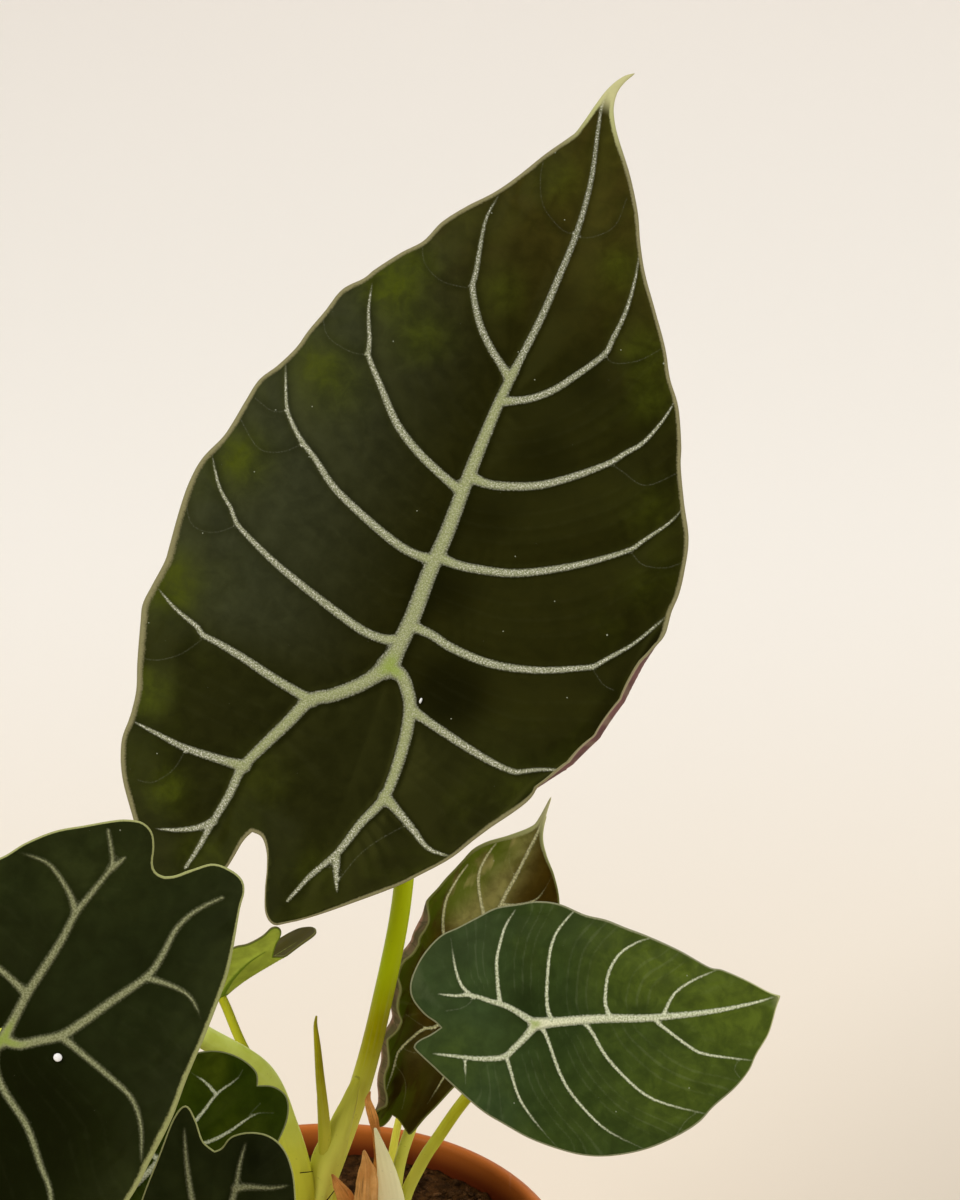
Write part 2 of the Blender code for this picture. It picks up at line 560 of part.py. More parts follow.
def stem(name, points, look, collection):
    """A round stem through points that each carry a radius."""
    curve = bpy.data.curves.new(name, "CURVE")
    curve.dimensions = "3D"
    curve.resolution_u = 2
    curve.bevel_depth = MM
    curve.bevel_resolution = 2
    curve.use_fill_caps = True
    curve.twist_mode = "MINIMUM"
    spline = curve.splines.new("BEZIER")
    spline.bezier_points.add(len(points) - 1)
    for knot, (x, y, z, radius) in zip(spline.bezier_points, points):
        knot.co = Vector((x, y, z)) * MM
        knot.radius = radius
        knot.handle_left_type = "AUTO"
        knot.handle_right_type = "AUTO"
    return add_object(name, curve, collection, look)


def petiole(name, leaf, collection):
    """The leaf's stalk, from under the soil to just short of the blade's underside."""
    start, end = leaf["stem_radius"]
    line = list(leaf["stem"])
    face = Vector(leaf["face"]).normalized()
    joint = Vector(leaf["joint"])
    wide = leaf["veins"][0][0]
    line.append(tuple(joint - face * (3.0 + 2.0 * wide)))
    line.append(tuple(joint - face * (blade_depth(wide) + STEM_CLEAR)))
    x, y, z = line[0]
    line.insert(0, (x, y, z - STEM_DEPTH))
    last = len(line) - 1
    points = [(x, y, z, start + (end - start) * (i / last) ** 0.7) for i, (x, y, z) in enumerate(line)]
    return stem(name, points, "petiole", collection)


def sheath(name, rings, collection):
    """A thin sheath: stacked lens-shaped sections, closed at both ends."""
    first = rings[0]
    rings = [(first[0], first[1], first[2] - STEM_DEPTH) + first[3:]] + rings
    sides = 8
    points = []
    for x, y, z, width, thick, turn in rings:
        turn = math.radians(turn)
        for i in range(sides):
            angle = 2 * math.pi * i / sides
            across = width * math.cos(angle)
            deep = thick * math.sin(angle) + 0.22 * width * (1 - math.cos(angle) ** 2) - 0.22 * width
            points.append(Vector((
                x + across * math.cos(turn) - deep * math.sin(turn),
                y + across * math.sin(turn) + deep * math.cos(turn),
                z,
            )) * MM)
    faces = [tuple(range(sides))[::-1]]
    for ring in range(len(rings) - 1):
        base = ring * sides
        for i in range(sides):
            j = (i + 1) % sides
            faces.append((base + i, base + j, base + sides + j, base + sides + i))
    faces.append(tuple(range(len(points) - sides, len(points))))
    mesh = bpy.data.meshes.new(name)
    mesh.from_pydata(points, [], faces)
    return add_object(name, mesh, collection, "dry sheath" if name.startswith("dry") else "pale sheath")


def turned_solid(name, profile, steps, look, collection):
    """A profile in the XZ plane, turned about Z."""
    mesh = bpy.data.meshes.new(name)
    points = [(radius * MM, 0.0, height * MM) for radius, height in profile]
    mesh.from_pydata(points, [(i, i + 1) for i in range(len(points) - 1)], [])
    obj = add_object(name, mesh, collection, look)
    screw = obj.modifiers.new("Turned", "SCREW")
    screw.steps = steps
    screw.render_steps = steps
    screw.use_merge_vertices = True
    screw.merge_threshold = 1e-5
    screw.use_normal_calculate = True
    return obj


def cutter(name, x, y, bottom, top, radius, sides, collection):
    """A cylinder that cuts and is left out of the plant."""
    bpy.ops.mesh.primitive_cylinder_add(
        vertices=sides,
        radius=radius * MM,
        depth=(top - bottom) * MM,
        location=(x * MM, y * MM, (top + bottom) / 2 * MM),
    )
    obj = bpy.context.object
    obj.name = name
    for other in list(obj.users_collection):
        other.objects.unlink(obj)
    collection.objects.link(obj)
    obj.hide_render = True
    obj.display_type = "WIRE"
    return obj


def cut(obj, tools):
    for tool in tools:
        boolean = obj.modifiers.new(tool.name, "BOOLEAN")
        boolean.operation = "DIFFERENCE"
        boolean.solver = "EXACT"
        boolean.object = tool


def wall_radius(height):
    """The pot's inner radius at a height."""
    top = RIM_RADIUS - RIM_LIP
    return FOOT_RADIUS - WALL + (top - FOOT_RADIUS + WALL) * height / POT_HEIGHT


def pot(collection, tools):
    skirt = POT_HEIGHT - RIM_SKIRT
    inner = RIM_RADIUS - RIM_LIP
    profile = [
        (0.0, 0.0), (FOOT_RADIUS - 1.5, 0.0), (FOOT_RADIUS, 1.5),
        (wall_radius(skirt - 2) + WALL, skirt - 2), (RIM_RADIUS - 1.4, skirt),
        (RIM_RADIUS - 0.4, skirt + 1.2), (RIM_RADIUS, POT_HEIGHT - 3.4),
        (RIM_RADIUS - 0.9, POT_HEIGHT - 0.9),
        (RIM_RADIUS - 2.2, POT_HEIGHT), (inner + 0.9, POT_HEIGHT - 0.6), (inner, POT_HEIGHT - 2.4),
        (wall_radius(skirt), skirt), (wall_radius(FLOOR + 2), FLOOR + 2),
        (wall_radius(FLOOR) - 2, FLOOR), (0.0, FLOOR),
    ]
    obj = turned_solid("pot", profile, 40, "pot plastic", collection)
    holes = []
    for i in range(DRAIN_COUNT):
        angle = 2 * math.pi * i / DRAIN_COUNT
        holes.append(cutter(
            f"drain_{i + 1}", DRAIN_CIRCLE * math.cos(angle), DRAIN_CIRCLE * math.sin(angle),
            -2.0, FLOOR + 2.0, DRAIN_RADIUS, 12, tools,
        ))
    cut(obj, holes)
    return obj


def soil(collection, tools, feet):
    """The soil that fills the pot, with a lumpy top and a plain hole for each stem."""
    low = FLOOR + SOIL_GAP
    steps = 40
    rings = [(wall_radius(low) - 2 - SOIL_GAP, low), (wall_radius(low + 2) - SOIL_GAP, low + 2)]
    rings += [(wall_radius(SOIL_TOP - 1.0) - SOIL_GAP, SOIL_TOP - 1.0)]
    rings += [(54.0, SOIL_TOP), (43.0, SOIL_TOP + 0.4), (30.0, SOIL_TOP + 0.2)]
    points = []
    for number, (radius, height) in enumerate(rings):
        for i in range(steps):
            angle = 2 * math.pi * i / steps
            lump = 0.0
            if number > 2:
                lump = 0.7 * math.sin(5 * angle + radius) + 0.5 * math.sin(11 * angle + 2.1 * radius)
            points.append((
                radius * math.cos(angle) * MM,
                radius * math.sin(angle) * MM,
                (height + lump) * MM,
            ))
    faces = [tuple(range(steps))[::-1]]
    for ring in range(len(rings) - 1):
        base = ring * steps
        for i in range(steps):
            j = (i + 1) % steps
            faces.append((base + i, base + j, base + steps + j, base + steps + i))
    last = (len(rings) - 1) * steps
    points.append((0.0, 0.0, (SOIL_TOP + 0.6) * MM))
    for i in range(steps):
        faces.append((last + i, last + (i + 1) % steps, len(points) - 1))
    mesh = bpy.data.meshes.new("soil")
    mesh.from_pydata(points, [], faces)
    obj = add_object("soil", mesh, collection, "soil")
    holes = []
    for name, x, y, radius in feet:
        holes.append(cutter(
            f"hole_{name}", x, y,
            STEM_LEVEL - STEM_DEPTH - SOIL_GAP, SOIL_TOP + 12, radius + STEM_GAP, 10, tools,
        ))
    cut(obj, holes)
    return obj


def main():
    for obj in list(bpy.data.objects):
        bpy.data.objects.remove(obj, do_unlink=True)
    plant = bpy.data.collections.new("Alocasia longiloba")
    tools = bpy.data.collections.new("Cutters")
    bpy.context.scene.collection.children.link(plant)
    bpy.context.scene.collection.children.link(tools)
    feet = []
    for name, leaf in LEAVES.items():
        blade(name, leaf, plant)
        petiole(name.replace("leaf", "petiole"), leaf, plant)
        feet.append((name, leaf["stem"][0][0], leaf["stem"][0][1], leaf["stem_radius"][0]))
    for name, points in SHOOTS.items():
        x, y, z, radius = points[0]
        stem(name, [(x, y, z - STEM_DEPTH, radius)] + points, "new shoot", plant)
        feet.append((name, x, y, radius))
    for name, rings in SHEATHS.items():
        sheath(name, rings, plant)
        x, y, _, width, _, _ = rings[0]
        feet.append((name, x, y, width))
    pot(plant, tools)
    soil(plant, tools, feet)


main()
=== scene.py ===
"""The looks of a potted alocasia longiloba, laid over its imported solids.

Each leaf is drawn flat in millimetres, with its stalk's joint at (0, 0), the apex along +Y and the
upper side facing +Z. The flat leaf gets its relief, is bent by formula and is turned to where it
grows. Every finished piece sits at the origin, with its place in its mesh.
"""

import json
import math

import bpy
import numpy as np
from mathutils import Matrix, Vector, noise
from mathutils.geometry import delaunay_2d_cdt
from mathutils.kdtree import KDTree


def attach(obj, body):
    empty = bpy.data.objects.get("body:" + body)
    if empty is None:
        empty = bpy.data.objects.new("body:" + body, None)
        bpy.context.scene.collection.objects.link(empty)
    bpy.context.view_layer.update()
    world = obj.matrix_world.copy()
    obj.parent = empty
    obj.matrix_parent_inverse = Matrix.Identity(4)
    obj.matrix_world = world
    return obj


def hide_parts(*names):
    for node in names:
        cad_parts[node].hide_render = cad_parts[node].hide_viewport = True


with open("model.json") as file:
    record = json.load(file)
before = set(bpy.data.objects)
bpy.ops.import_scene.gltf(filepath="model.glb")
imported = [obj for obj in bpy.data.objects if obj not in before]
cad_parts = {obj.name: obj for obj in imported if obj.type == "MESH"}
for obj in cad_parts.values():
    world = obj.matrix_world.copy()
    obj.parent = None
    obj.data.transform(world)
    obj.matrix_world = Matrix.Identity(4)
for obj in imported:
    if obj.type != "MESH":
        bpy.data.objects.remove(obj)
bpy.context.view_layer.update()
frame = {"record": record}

bl_info = {
    "name": "Potted alocasia",
    "version": (1, 0, 0),
    "blender": (4, 5, 0),
    "location": "3D View > Sidebar > Alocasia",
    "description": "Builds the leaves, stalks, sheaths, soil and pot of a potted alocasia",
    "category": "Add Mesh",
}

MM = 0.001

# The leaves, in millimetres. joint is where the stalk meets the blade, apex points along it and face
# out of its upper side. right and left are its margins from the apex to the notch. A vein is half its
# width at its start and at its end, and its line. loops are finer veins, and sides numbers the veins
# of the right and the left half from the apex down. tones, rim and ripples give x, y, reach and
# amount of the mossy or dark spots, of the changes to the pale rim's first width, and of the
# wrinkles. The dark spots are painted shade, and on the young leaf the mossy spots are painted light.
# dim darkens the blade beside the midrib with painted shade, and tip is where the pale tip starts.
# Pairs are for the left and the right half: fold in degrees, and cup, like arch and lobe_arch, as a
# curvature per metre. wave and ruffle move the margin. curl is the half that rolls over, where along
# the leaf it starts how far out, and its curvature. grain is the mesh's spacing. stem is the stalk's
# line above the soil, and stem_radius its radius at the foot and at the blade.
MAIN_LEAF = {
    "joint": (20.1, 0, 293.8),
    "apex": (0.345, 0.535, 0.771),
    "face": (-0.060, -0.808, 0.587),
    "right": [
        (3.4, 160.4), (1.9, 157.8), (1, 154.5), (1.4, 150.7), (2.8, 147.2), (5.2, 143.2), (11.4, 134.6),
        (16.6, 125.9), (20, 118.4), (23.8, 111.3), (29.1, 103.5), (34.7, 95.2), (38.4, 88.3), (42.7, 82.2),
        (46.6, 73.5), (48.4, 68.2), (52.2, 60), (56.2, 52), (57.8, 44.5), (58.4, 38.5), (57.9, 33.5),
        (58.2, 26), (59.3, 17), (59.3, 9), (57.3, 0), (52, -8), (44.3, -16), (37.6, -25), (33.2, -31.5),
        (29.2, -38), (23.9, -44), (19.1, -48.9), (11.6, -55.2), (4.2, -61.1), (-2, -65.4), (-4.6, -66.7),
        (-7.2, -64.8), (-9.3, -59.6), (-10.6, -55.1), (-12.2, -51.2), (-14.6, -48.3), (-17.3, -48),
    ],
    "left": [
        (3.4, 160.4), (1.3, 158.9), (-0.3, 156.4), (-1.9, 152.2), (-4.3, 142), (-5.8, 138.9), (-9.6, 133),
        (-14.2, 124.8), (-18.1, 119), (-22.9, 113.6), (-27.3, 107.6), (-29.8, 101.5), (-33.8, 96.8),
        (-38.2, 90.6), (-40, 87.4), (-43.9, 82.9), (-45.9, 76.4), (-48, 70.4), (-49.3, 65.6), (-52, 60),
        (-55, 55.2), (-56.2, 49.2), (-57.1, 42.9), (-58, 38.6), (-60.6, 32), (-61.4, 25.5), (-61.2, 18.2),
        (-60.5, 9.5), (-60.3, 5.6), (-61.2, -1), (-61.6, -5.8), (-60.3, -10.5), (-57.6, -19), (-55.2, -25.6),
        (-54.3, -30.6), (-54.1, -33.4), (-53.8, -39), (-50.6, -46.6), (-43.8, -55.9), (-35.8, -66.8),
        (-26.6, -70), (-22.2, -65.5), (-19.8, -58), (-18.6, -51), (-17.3, -48),
    ],
    "veins": [
        (2.1, 1.2, [
            (-1.2, -0.3), (-0.6, 3), (0.3, 13.5), (0.3, 24), (0.9, 35), (0.9, 46), (1.1, 58), (1.5, 70),
            (2.1, 77),
        ]),
        (1.1, 0.2, [
            (-0.1, 11.2), (3, 11), (6.8, 10.5), (11.2, 9.3), (18.6, 8.6), (25.6, 9), (34.6, 11.2),
            (42.8, 14.6), (45.4, 15.8), (47.5, 18.3), (52.8, 24.7), (57, 32.5),
        ]),
        (1.1, 0.2, [
            (0.7, 29), (6.2, 28.6), (13, 29.5), (20.4, 31.3), (29.7, 35.7), (38, 40.8), (44.2, 45.4),
            (46, 47.9), (50.7, 54.2), (52.4, 58),
        ]),
        (1.1, 0.2, [
            (1, 50.2), (4.5, 49.6), (9.3, 50.2), (17.9, 53.2), (25.8, 58.4), (32.4, 64), (34.8, 67.2),
            (37.9, 70.8), (40.5, 77.5), (41.6, 83),
        ]),
        (0.95, 0.18, [
            (1.8, 70), (7.7, 72.5), (12.5, 76.2), (16.2, 80.9), (21.5, 88.9), (22.1, 93), (22.8, 101),
            (22.1, 109.5), (20.8, 116),
        ]),
        (0.95, 0.18, [
            (2, 76), (-1.4, 78.8), (-5.1, 81.7), (-9.8, 86.6), (-14.5, 94.3), (-15.1, 98.2), (-17.2, 108.8),
            (-17.6, 113.4), (-16.8, 119),
        ]),
        (1.1, 0.18, [
            (1, 45.8), (-4.6, 47.8), (-12.6, 51.4), (-19.7, 56.1), (-26.6, 63.4), (-32.4, 69.9), (-33, 72.6),
            (-36.1, 80), (-37.8, 87),
        ]),
        (1.1, 0.18, [
            (0.6, 28), (-3.6, 27.6), (-9.4, 28.5), (-19.4, 32.1), (-28.5, 36.3), (-35.2, 41.3),
            (-39.7, 44.2), (-43.2, 47.3), (-46.2, 50.8), (-48.9, 57), (-50.6, 61.5),
        ]),
        (1.1, 0.18, [
            (-0.2, 7.2), (-4, 5.9), (-9.6, 6), (-17.6, 8.2), (-28.4, 11.7), (-37.4, 15.1), (-47.2, 19.9),
            (-49.4, 22.6), (-54.3, 26.8), (-58.8, 33.6),
        ]),
        (1.75, 0.4, [
            (-1.2, -0.2), (-4, -4.3), (-6.7, -7.3), (-11.4, -11.3), (-15.6, -13.9), (-18.5, -20.4),
            (-22, -27.9), (-24.9, -34.8), (-25.5, -41.9), (-26.9, -50), (-27.7, -56.2), (-28.8, -61.5),
        ]),
        (0.75, 0.15, [(-26.6, -49), (-29.1, -51.4), (-34, -53.9), (-39, -55.4)]),
        (1.15, 0.18, [
            (-15, -14), (-18.4, -13.4), (-26.1, -11.9), (-34.2, -9.9), (-42.6, -8.3), (-45.2, -8.2),
            (-47.2, -6.6), (-53.7, -4.3), (-59.6, -1),
        ]),
        (1.1, 0.18, [(-24.4, -34.2), (-29.1, -34.6), (-39.1, -35), (-45.4, -34.3), (-53.2, -33.3)]),
        (1.65, 0.35, [
            (-1.2, -0.2), (2.6, -0.9), (5.2, -3.6), (7.5, -7.6), (9.1, -15.7), (9.6, -26), (8.9, -31.4),
            (6.2, -37.3), (3.8, -45), (1.3, -49.7), (-0.7, -53.2), (-3.5, -60.5),
        ]),
        (0.8, 0.18, [(3.4, -46.6), (4.4, -49.1), (5.5, -52), (6.8, -54.6)]),
        (1.1, 0.25, [
            (7.6, -7.8), (10.5, -8.7), (19.6, -11.1), (29.5, -13.3), (36.6, -13.9), (39.3, -12.5),
            (43.5, -10.8), (48, -9.6),
        ]),
        (1.1, 0.22, [(9.2, -29.6), (12, -31), (18.9, -35), (22.1, -37.2), (24.8, -38), (28.6, -37.8)]),
        (0.95, 0.3, [
            (2.1, 77), (2.6, 82), (3.8, 93.5), (4.2, 104), (4.4, 116.5), (3.1, 130), (0.2, 143), (-1.2, 150),
            (-1, 153.5),
        ]),
    ],
    "loops": [
        [(4, 116), (0.8, 115.9), (-5.5, 119.8), (-8.7, 126.3), (-9.6, 131)],
        [(4.4, 115.4), (8.7, 116.4), (12.8, 120.7), (13, 128.5)],
        [(-14.6, 94.3), (-21.8, 93.2), (-27.5, 96), (-30, 101)],
        [(21.8, 88.9), (24.5, 87.6), (29.9, 89.9), (34, 94.5)],
        [(32.8, 63.6), (35.7, 62.7), (42.2, 60.9), (48, 66)],
        [(44.8, 44.6), (48.2, 42.7), (53.2, 43.6), (56.6, 46)],
        [(45.2, 15.6), (49, 12.6), (52, 12)],
        [(-32.7, 69.9), (-36.5, 69), (-43, 70.6), (-46, 75)],
        [(-46, 50.3), (-49.3, 48.9), (-54.4, 50.6)],
        [(-39.8, 43.4), (-43.5, 40), (-49, 39), (-55.8, 44.5)],
        [(-47.2, 19.5), (-51.7, 15.9), (-57.2, 16), (-60.4, 20.5)],
        [(-45, -8.7), (-48.5, -14.2), (-53.5, -17.6), (-58, -18.2)],
        [(-39.1, -35.5), (-40, -40.9), (-43.4, -45.4), (-47, -46)],
        [(17, -33.6), (9.5, -43), (6, -52)],
    ],
    "sides": [[4, 3, 2, 1, 15, 16, 14], [5, 6, 7, 8, 11, 12, 10]],
    "tones": [
        (-58, 1, 7, 1.3), (-54, -26, 6, 1.1), (-53, 35, 7, 0.9), (-34, 88, 7, 1), (-29, 96, 5, 0.6),
        (-44, 64, 6, 0.6), (-40, -46, 5, 0.8), (-8, 96, 6, 0.35), (-22, 78, 7, 0.5), (-5, 128, 7, 0.4),
        (18, 111, 6, 0.5), (30, 92, 7, 0.5), (36, 82, 6, 0.4), (-26, -58, 6, 0.5), (-20, -36, 7, 0.25),
        (-38, 60, 8, 0.4), (46, 56, 7, 0.25), (50, 38, 6, 0.2), (0, -52, 6, 0.3), (39, -17, 7, 0.25),
        (15, -1, 10, -0.8), (7, 22, 8, -0.5), (-10, 24, 9, -0.3), (9, 41, 8, -0.4), (-18, 6, 8, -0.3),
        (16, 60, 10, -0.4), (-12, 64, 9, -0.25), (20, 82, 8, -0.4), (7, 99, 6, -0.3),
    ],
    "rim": [
        0.9, (-60, 0, 34, 0.55), (-22, -66, 9, -0.6), (-10, -56, 9, -0.75), (2, -62, 12, -0.6),
        (24, -42, 16, -0.45), (48, -12, 14, -0.4), (30, 104, 34, -0.25), (58, 30, 24, -0.1),
    ],
    "ripples": [
        (1, 8, 12, 0.045), (1, 29, 13, 0.035), (1, 50, 13, 0.025), (9, -12, 9, 0.03),
    ],
    "dim": 0.6,
    "arch": 0.6, "lobe_arch": 1.5, "fold": (4, 6), "cup": (-1, -0.5),
    "wave": 1.1,
    "curl": (1, [
        (-28, 34.4), (-16, 40.1), (-8, 46.6), (0, 51.2), (10, 53.6), (20, 53.8), (28, 54.8), (37, 57),
    ], 450),
    "grain": 0.85, "tip": 149,
    "stem": [
        (-4.5, 5.5, 112), (-3.2, 5.7, 124), (-0.4, 6, 137), (6.3, 8, 156.5), (11.3, 10, 172),
        (15.7, 14, 189.5), (20.8, 18.5, 215), (23, 19.5, 240), (23.2, 18, 265), (22.4, 14, 281),
    ],
    "stem_radius": (3.5, 2),
}

LEFT_LEAF = {
    "joint": (-61.4, -105, 258.4),
    "apex": (-0.734, -0.186, -0.653),
    "face": (0.050, -0.974, 0.221),
    "right": [
        (0, 140), (1.2, 134), (7, 122), (19, 104), (31, 84), (40, 64), (45.5, 44), (46.5, 25), (44, 5),
        (38, -13), (32.3, -23), (29.4, -29), (28.3, -34.8), (26, -41.3), (22.6, -46.7), (19.4, -51.6),
        (17.4, -54), (14.8, -55.8), (11.9, -55.7), (9.2, -53.7), (6.9, -51), (5.2, -49.9), (3.7, -49.9),
        (2.4, -50.5),
    ],
    "left": [
        (0, 140), (-2, 133), (-9, 120), (-22, 103), (-33.5, 84), (-42.5, 64), (-47.5, 44), (-48, 25),
        (-44.8, 6), (-41.5, -3.7), (-37.6, -13.9), (-33, -23), (-28.3, -33.3), (-22.8, -44.2),
        (-18.8, -50.1), (-13.3, -57.3), (-11.1, -60.7), (-8.8, -62.2), (-5.6, -61.8), (-2.4, -60),
        (-0.6, -56.4), (1, -52.3), (2.4, -50.5),
    ],
    "veins": [
        (1.3, 0.3, [(0, 0), (-1, 20), (0, 45), (1, 70), (1, 95), (0, 118), (0, 134)]),
        (1.05, 0.3, [
            (0, 0), (1.6, -5.1), (3.7, -10.9), (5.4, -17.5), (7.4, -24.8), (9.7, -31.2), (10.8, -37.6),
            (11.9, -43.6), (13.3, -45.7), (18.6, -49.6),
        ]),
        (0.6, 0.25, [(11.9, -43.6), (11.6, -47.6)]),
        (0.6, 0.15, [(9.7, -31.2), (13.3, -33.3), (18.7, -34.8), (22.6, -35), (28, -32.4)]),
        (0.75, 0.2, [(3.7, -10.7), (7.3, -10.8), (14, -10.4), (26, -7), (35, 1), (40, 10)]),
        (1.1, 0.3, [
            (0, 0), (-3.2, -1.2), (-5.5, -5), (-8.1, -9.6), (-9.1, -15.5), (-9.8, -22.5), (-10.8, -30.6),
            (-10.8, -34.3), (-9.3, -39.3), (-7.5, -44.3), (-7.3, -50), (-9, -56.6),
        ]),
        (0.6, 0.15, [(-10.9, -32), (-14.1, -34), (-18.4, -35.9), (-21.4, -36.1), (-25.4, -34.6)]),
        (0.75, 0.2, [
            (-8.1, -9.5), (-13.5, -10), (-22, -10.8), (-28.5, -10.9), (-34.2, -8.1), (-40.5, -2.2),
        ]),
        (0.85, 0.2, [
            (-0.8, 3.6), (-3.9, 6.2), (-9, 8.2), (-17.6, 10), (-25.9, 13.9), (-33.2, 17.6), (-44, 29),
        ]),
        (0.7, 0.15, [(-0.5, 22), (12, 25), (26, 33), (36, 43), (41, 53)]),
        (0.7, 0.15, [(-0.5, 30), (-14, 34), (-28, 43), (-38, 55), (-41, 64)]),
        (0.7, 0.15, [(0, 45), (12, 50), (24, 59), (32, 69), (34, 76)]),
        (0.7, 0.15, [(0.5, 57), (-12, 64), (-23, 76), (-28, 88)]),
        (0.7, 0.15, [(1, 72), (10, 79), (17, 90), (19, 100)]),
        (0.7, 0.15, [(1, 86), (-8, 94), (-13, 106)]),
    ],
    "sides": [[13, 11, 9, 4, 3, 2], [14, 12, 10, 8, 7, 6]],
    "tones": [
        (-8, -33, 7, -0.35), (-16, 16, 24, -1), (14, 26, 30, -0.8), (17, -36, 10, 0.35), (12, -48, 8, 0.25),
        (0, 0, 4, 0.5),
    ],
    "rim": [0.15, (-40, -8, 26, 1), (-24, -42, 14, 0.4), (2, -51, 8, 0.15)],
    "dim": 0.3,
    "arch": 1.6, "lobe_arch": 1.2, "fold": (6, 6), "cup": (-1.2, -1),
    "wave": 1.3,
    "grain": 0.95, "tip": 128,
    "stem": [
        (-3, -4.2, 112), (-3.4, -5, 130), (-4.4, -6, 149.5), (-7.8, -8, 168), (-13.2, -13, 187.5),
        (-25.5, -24, 205), (-36.5, -45, 227), (-48.5, -74, 246.5),
    ],
    "stem_radius": (3.4, 2.6),
}

RIGHT_LEAF = {
    "joint": (53.9, -45, 222.8),
    "apex": (0.989, 0.144, 0.028),
    "face": (0.101, -0.805, 0.584),
    "right": [
        (-0.7, 59.9), (1.9, 58.5), (7.6, 55.9), (12.3, 52.2), (15.9, 49.9), (19.6, 46), (23.4, 40.4),
        (26.8, 36.3), (29.6, 30.2), (31.6, 23), (32.2, 15), (31.4, 8.4), (29.3, 2.4), (26.1, -4.1),
        (22.3, -9.6), (18.6, -14.5), (12.4, -20.4), (7.6, -24.6), (3.5, -28.2), (2.2, -28.8), (1, -27.3),
        (0, -24.6), (-1.4, -22),
    ],
    "left": [
        (-0.7, 59.9), (-1.8, 57.2), (-5, 52.2), (-8.1, 46.4), (-9.1, 43.2), (-13.6, 36.6), (-17.6, 29.6),
        (-20.4, 23.9), (-22.6, 19.6), (-24.3, 14.7), (-27.4, 9.1), (-28.6, 4), (-28.4, -0.7), (-28, -6.1),
        (-26.2, -10.8), (-24.3, -15.5), (-22.7, -19.9), (-19, -24.2), (-14.8, -27.1), (-11.5, -28.3),
        (-8.5, -27.9), (-5, -25.6), (-2.9, -23.2), (-1.4, -22),
    ],
    "veins": [
        (1.15, 0.2, [(0, 0), (0, 3.6), (0.3, 15.6), (1.3, 27.5), (1.3, 42), (0.4, 52.2), (-0.6, 58.2)]),
        (0.75, 0.2, [
            (0, 0.2), (-2.4, -2.7), (-4.8, -6), (-6.2, -9.4), (-8.3, -14.3), (-8.4, -17.5), (-9.3, -22),
        ]),
        (0.45, 0.2, [(-5.6, -7.7), (-10.6, -7.7), (-16, -7.3), (-20.1, -5.9), (-23.6, -4.4), (-27.2, -1.6)]),
        (0.38, 0.12, [(-8, -14), (-10.5, -16.2), (-14.8, -17.3), (-22, -17.6)]),
        (0.42, 0.22, [
            (-0.4, 4.2), (-2.6, 3.5), (-5.9, 3.5), (-11.1, 4.3), (-16.9, 5.6), (-21.4, 7.9), (-26, 12.8),
        ]),
        (0.42, 0.2, [
            (0.5, 18.6), (-1.9, 17.3), (-5.1, 17.5), (-10.3, 18.9), (-14.4, 22), (-16.7, 26.5),
            (-17.4, 30.2),
        ]),
        (0.36, 0.18, [(1.2, 30.6), (-1, 32.1), (-3.9, 34.2), (-6.4, 38.8), (-8.5, 45.6)]),
        (0.85, 0.2, [
            (0, 0.2), (2.9, -2.7), (4.9, -5.3), (6.8, -7.6), (7, -9.5), (6.7, -13.8), (5.6, -19),
            (4.4, -24.6),
        ]),
        (0.25, 0.1, [(6.5, -17.3), (9, -17.5), (12.2, -17.8)]),
        (0.36, 0.12, [(6.7, -7.6), (9.4, -7), (14.2, -6.2), (18.1, -5), (23.7, -1.7), (28.8, 2)]),
        (0.4, 0.15, [(0.3, 1), (2.8, 2.4), (7.6, 3.5), (13.9, 5.3), (20, 8.8), (26.4, 14.4), (31.9, 23.2)]),
        (0.4, 0.18, [
            (0.4, 11.4), (3.3, 13.4), (8.3, 15.5), (13.9, 19.4), (19.2, 24.5), (22.1, 30), (25.2, 39),
        ]),
        (0.4, 0.18, [(1.2, 28), (3.3, 30), (8.5, 35.7), (11.1, 39.8), (13.9, 52)]),
    ],
    "loops": [
        [(-7.9, -13.2), (-5.6, -16.2), (-5.2, -20.5)],
        [(13.2, 48), (15.2, 46.4), (17.8, 47.8)],
        [(24.4, 36.6), (26, 33.6), (29, 31)],
    ],
    "sides": [[12, 11, 10, 9, 8], [6, 5, 4, 2, 3]],
    "tones": [
        (0, 50, 14, 1), (22, 34, 12, 0.45), (16, 24, 12, 0.25), (-13, 26, 12, 0.75), (24, 8, 10, 0.15),
        (-6, 38, 8, 0.3), (-5, -1, 7, -0.5), (-22, 0, 8, -0.15), (-19, -16, 8, -0.35), (6, -20, 8, 0.3),
        (3, 18, 6, 0.2),
    ],
    "rim": [0.15, (-22, 22, 22, 0.22), (26, 32, 14, 0.1)],
    "dim": 0.1,
    "arch": 2, "lobe_arch": 2, "fold": (2, 2), "cup": (-3, -3),
    "wave": 0.5,
    "grain": 0.6, "tip": 58.6,
    "stem": [
        (19.6, -5.5, 112), (20.2, -6.6, 128), (21.6, -8, 145), (26, -11.5, 159), (30.3, -16, 170),
        (37.2, -22.5, 186), (46, -30, 202.5),
    ],
    "stem_radius": (1.8, 1.4),
}

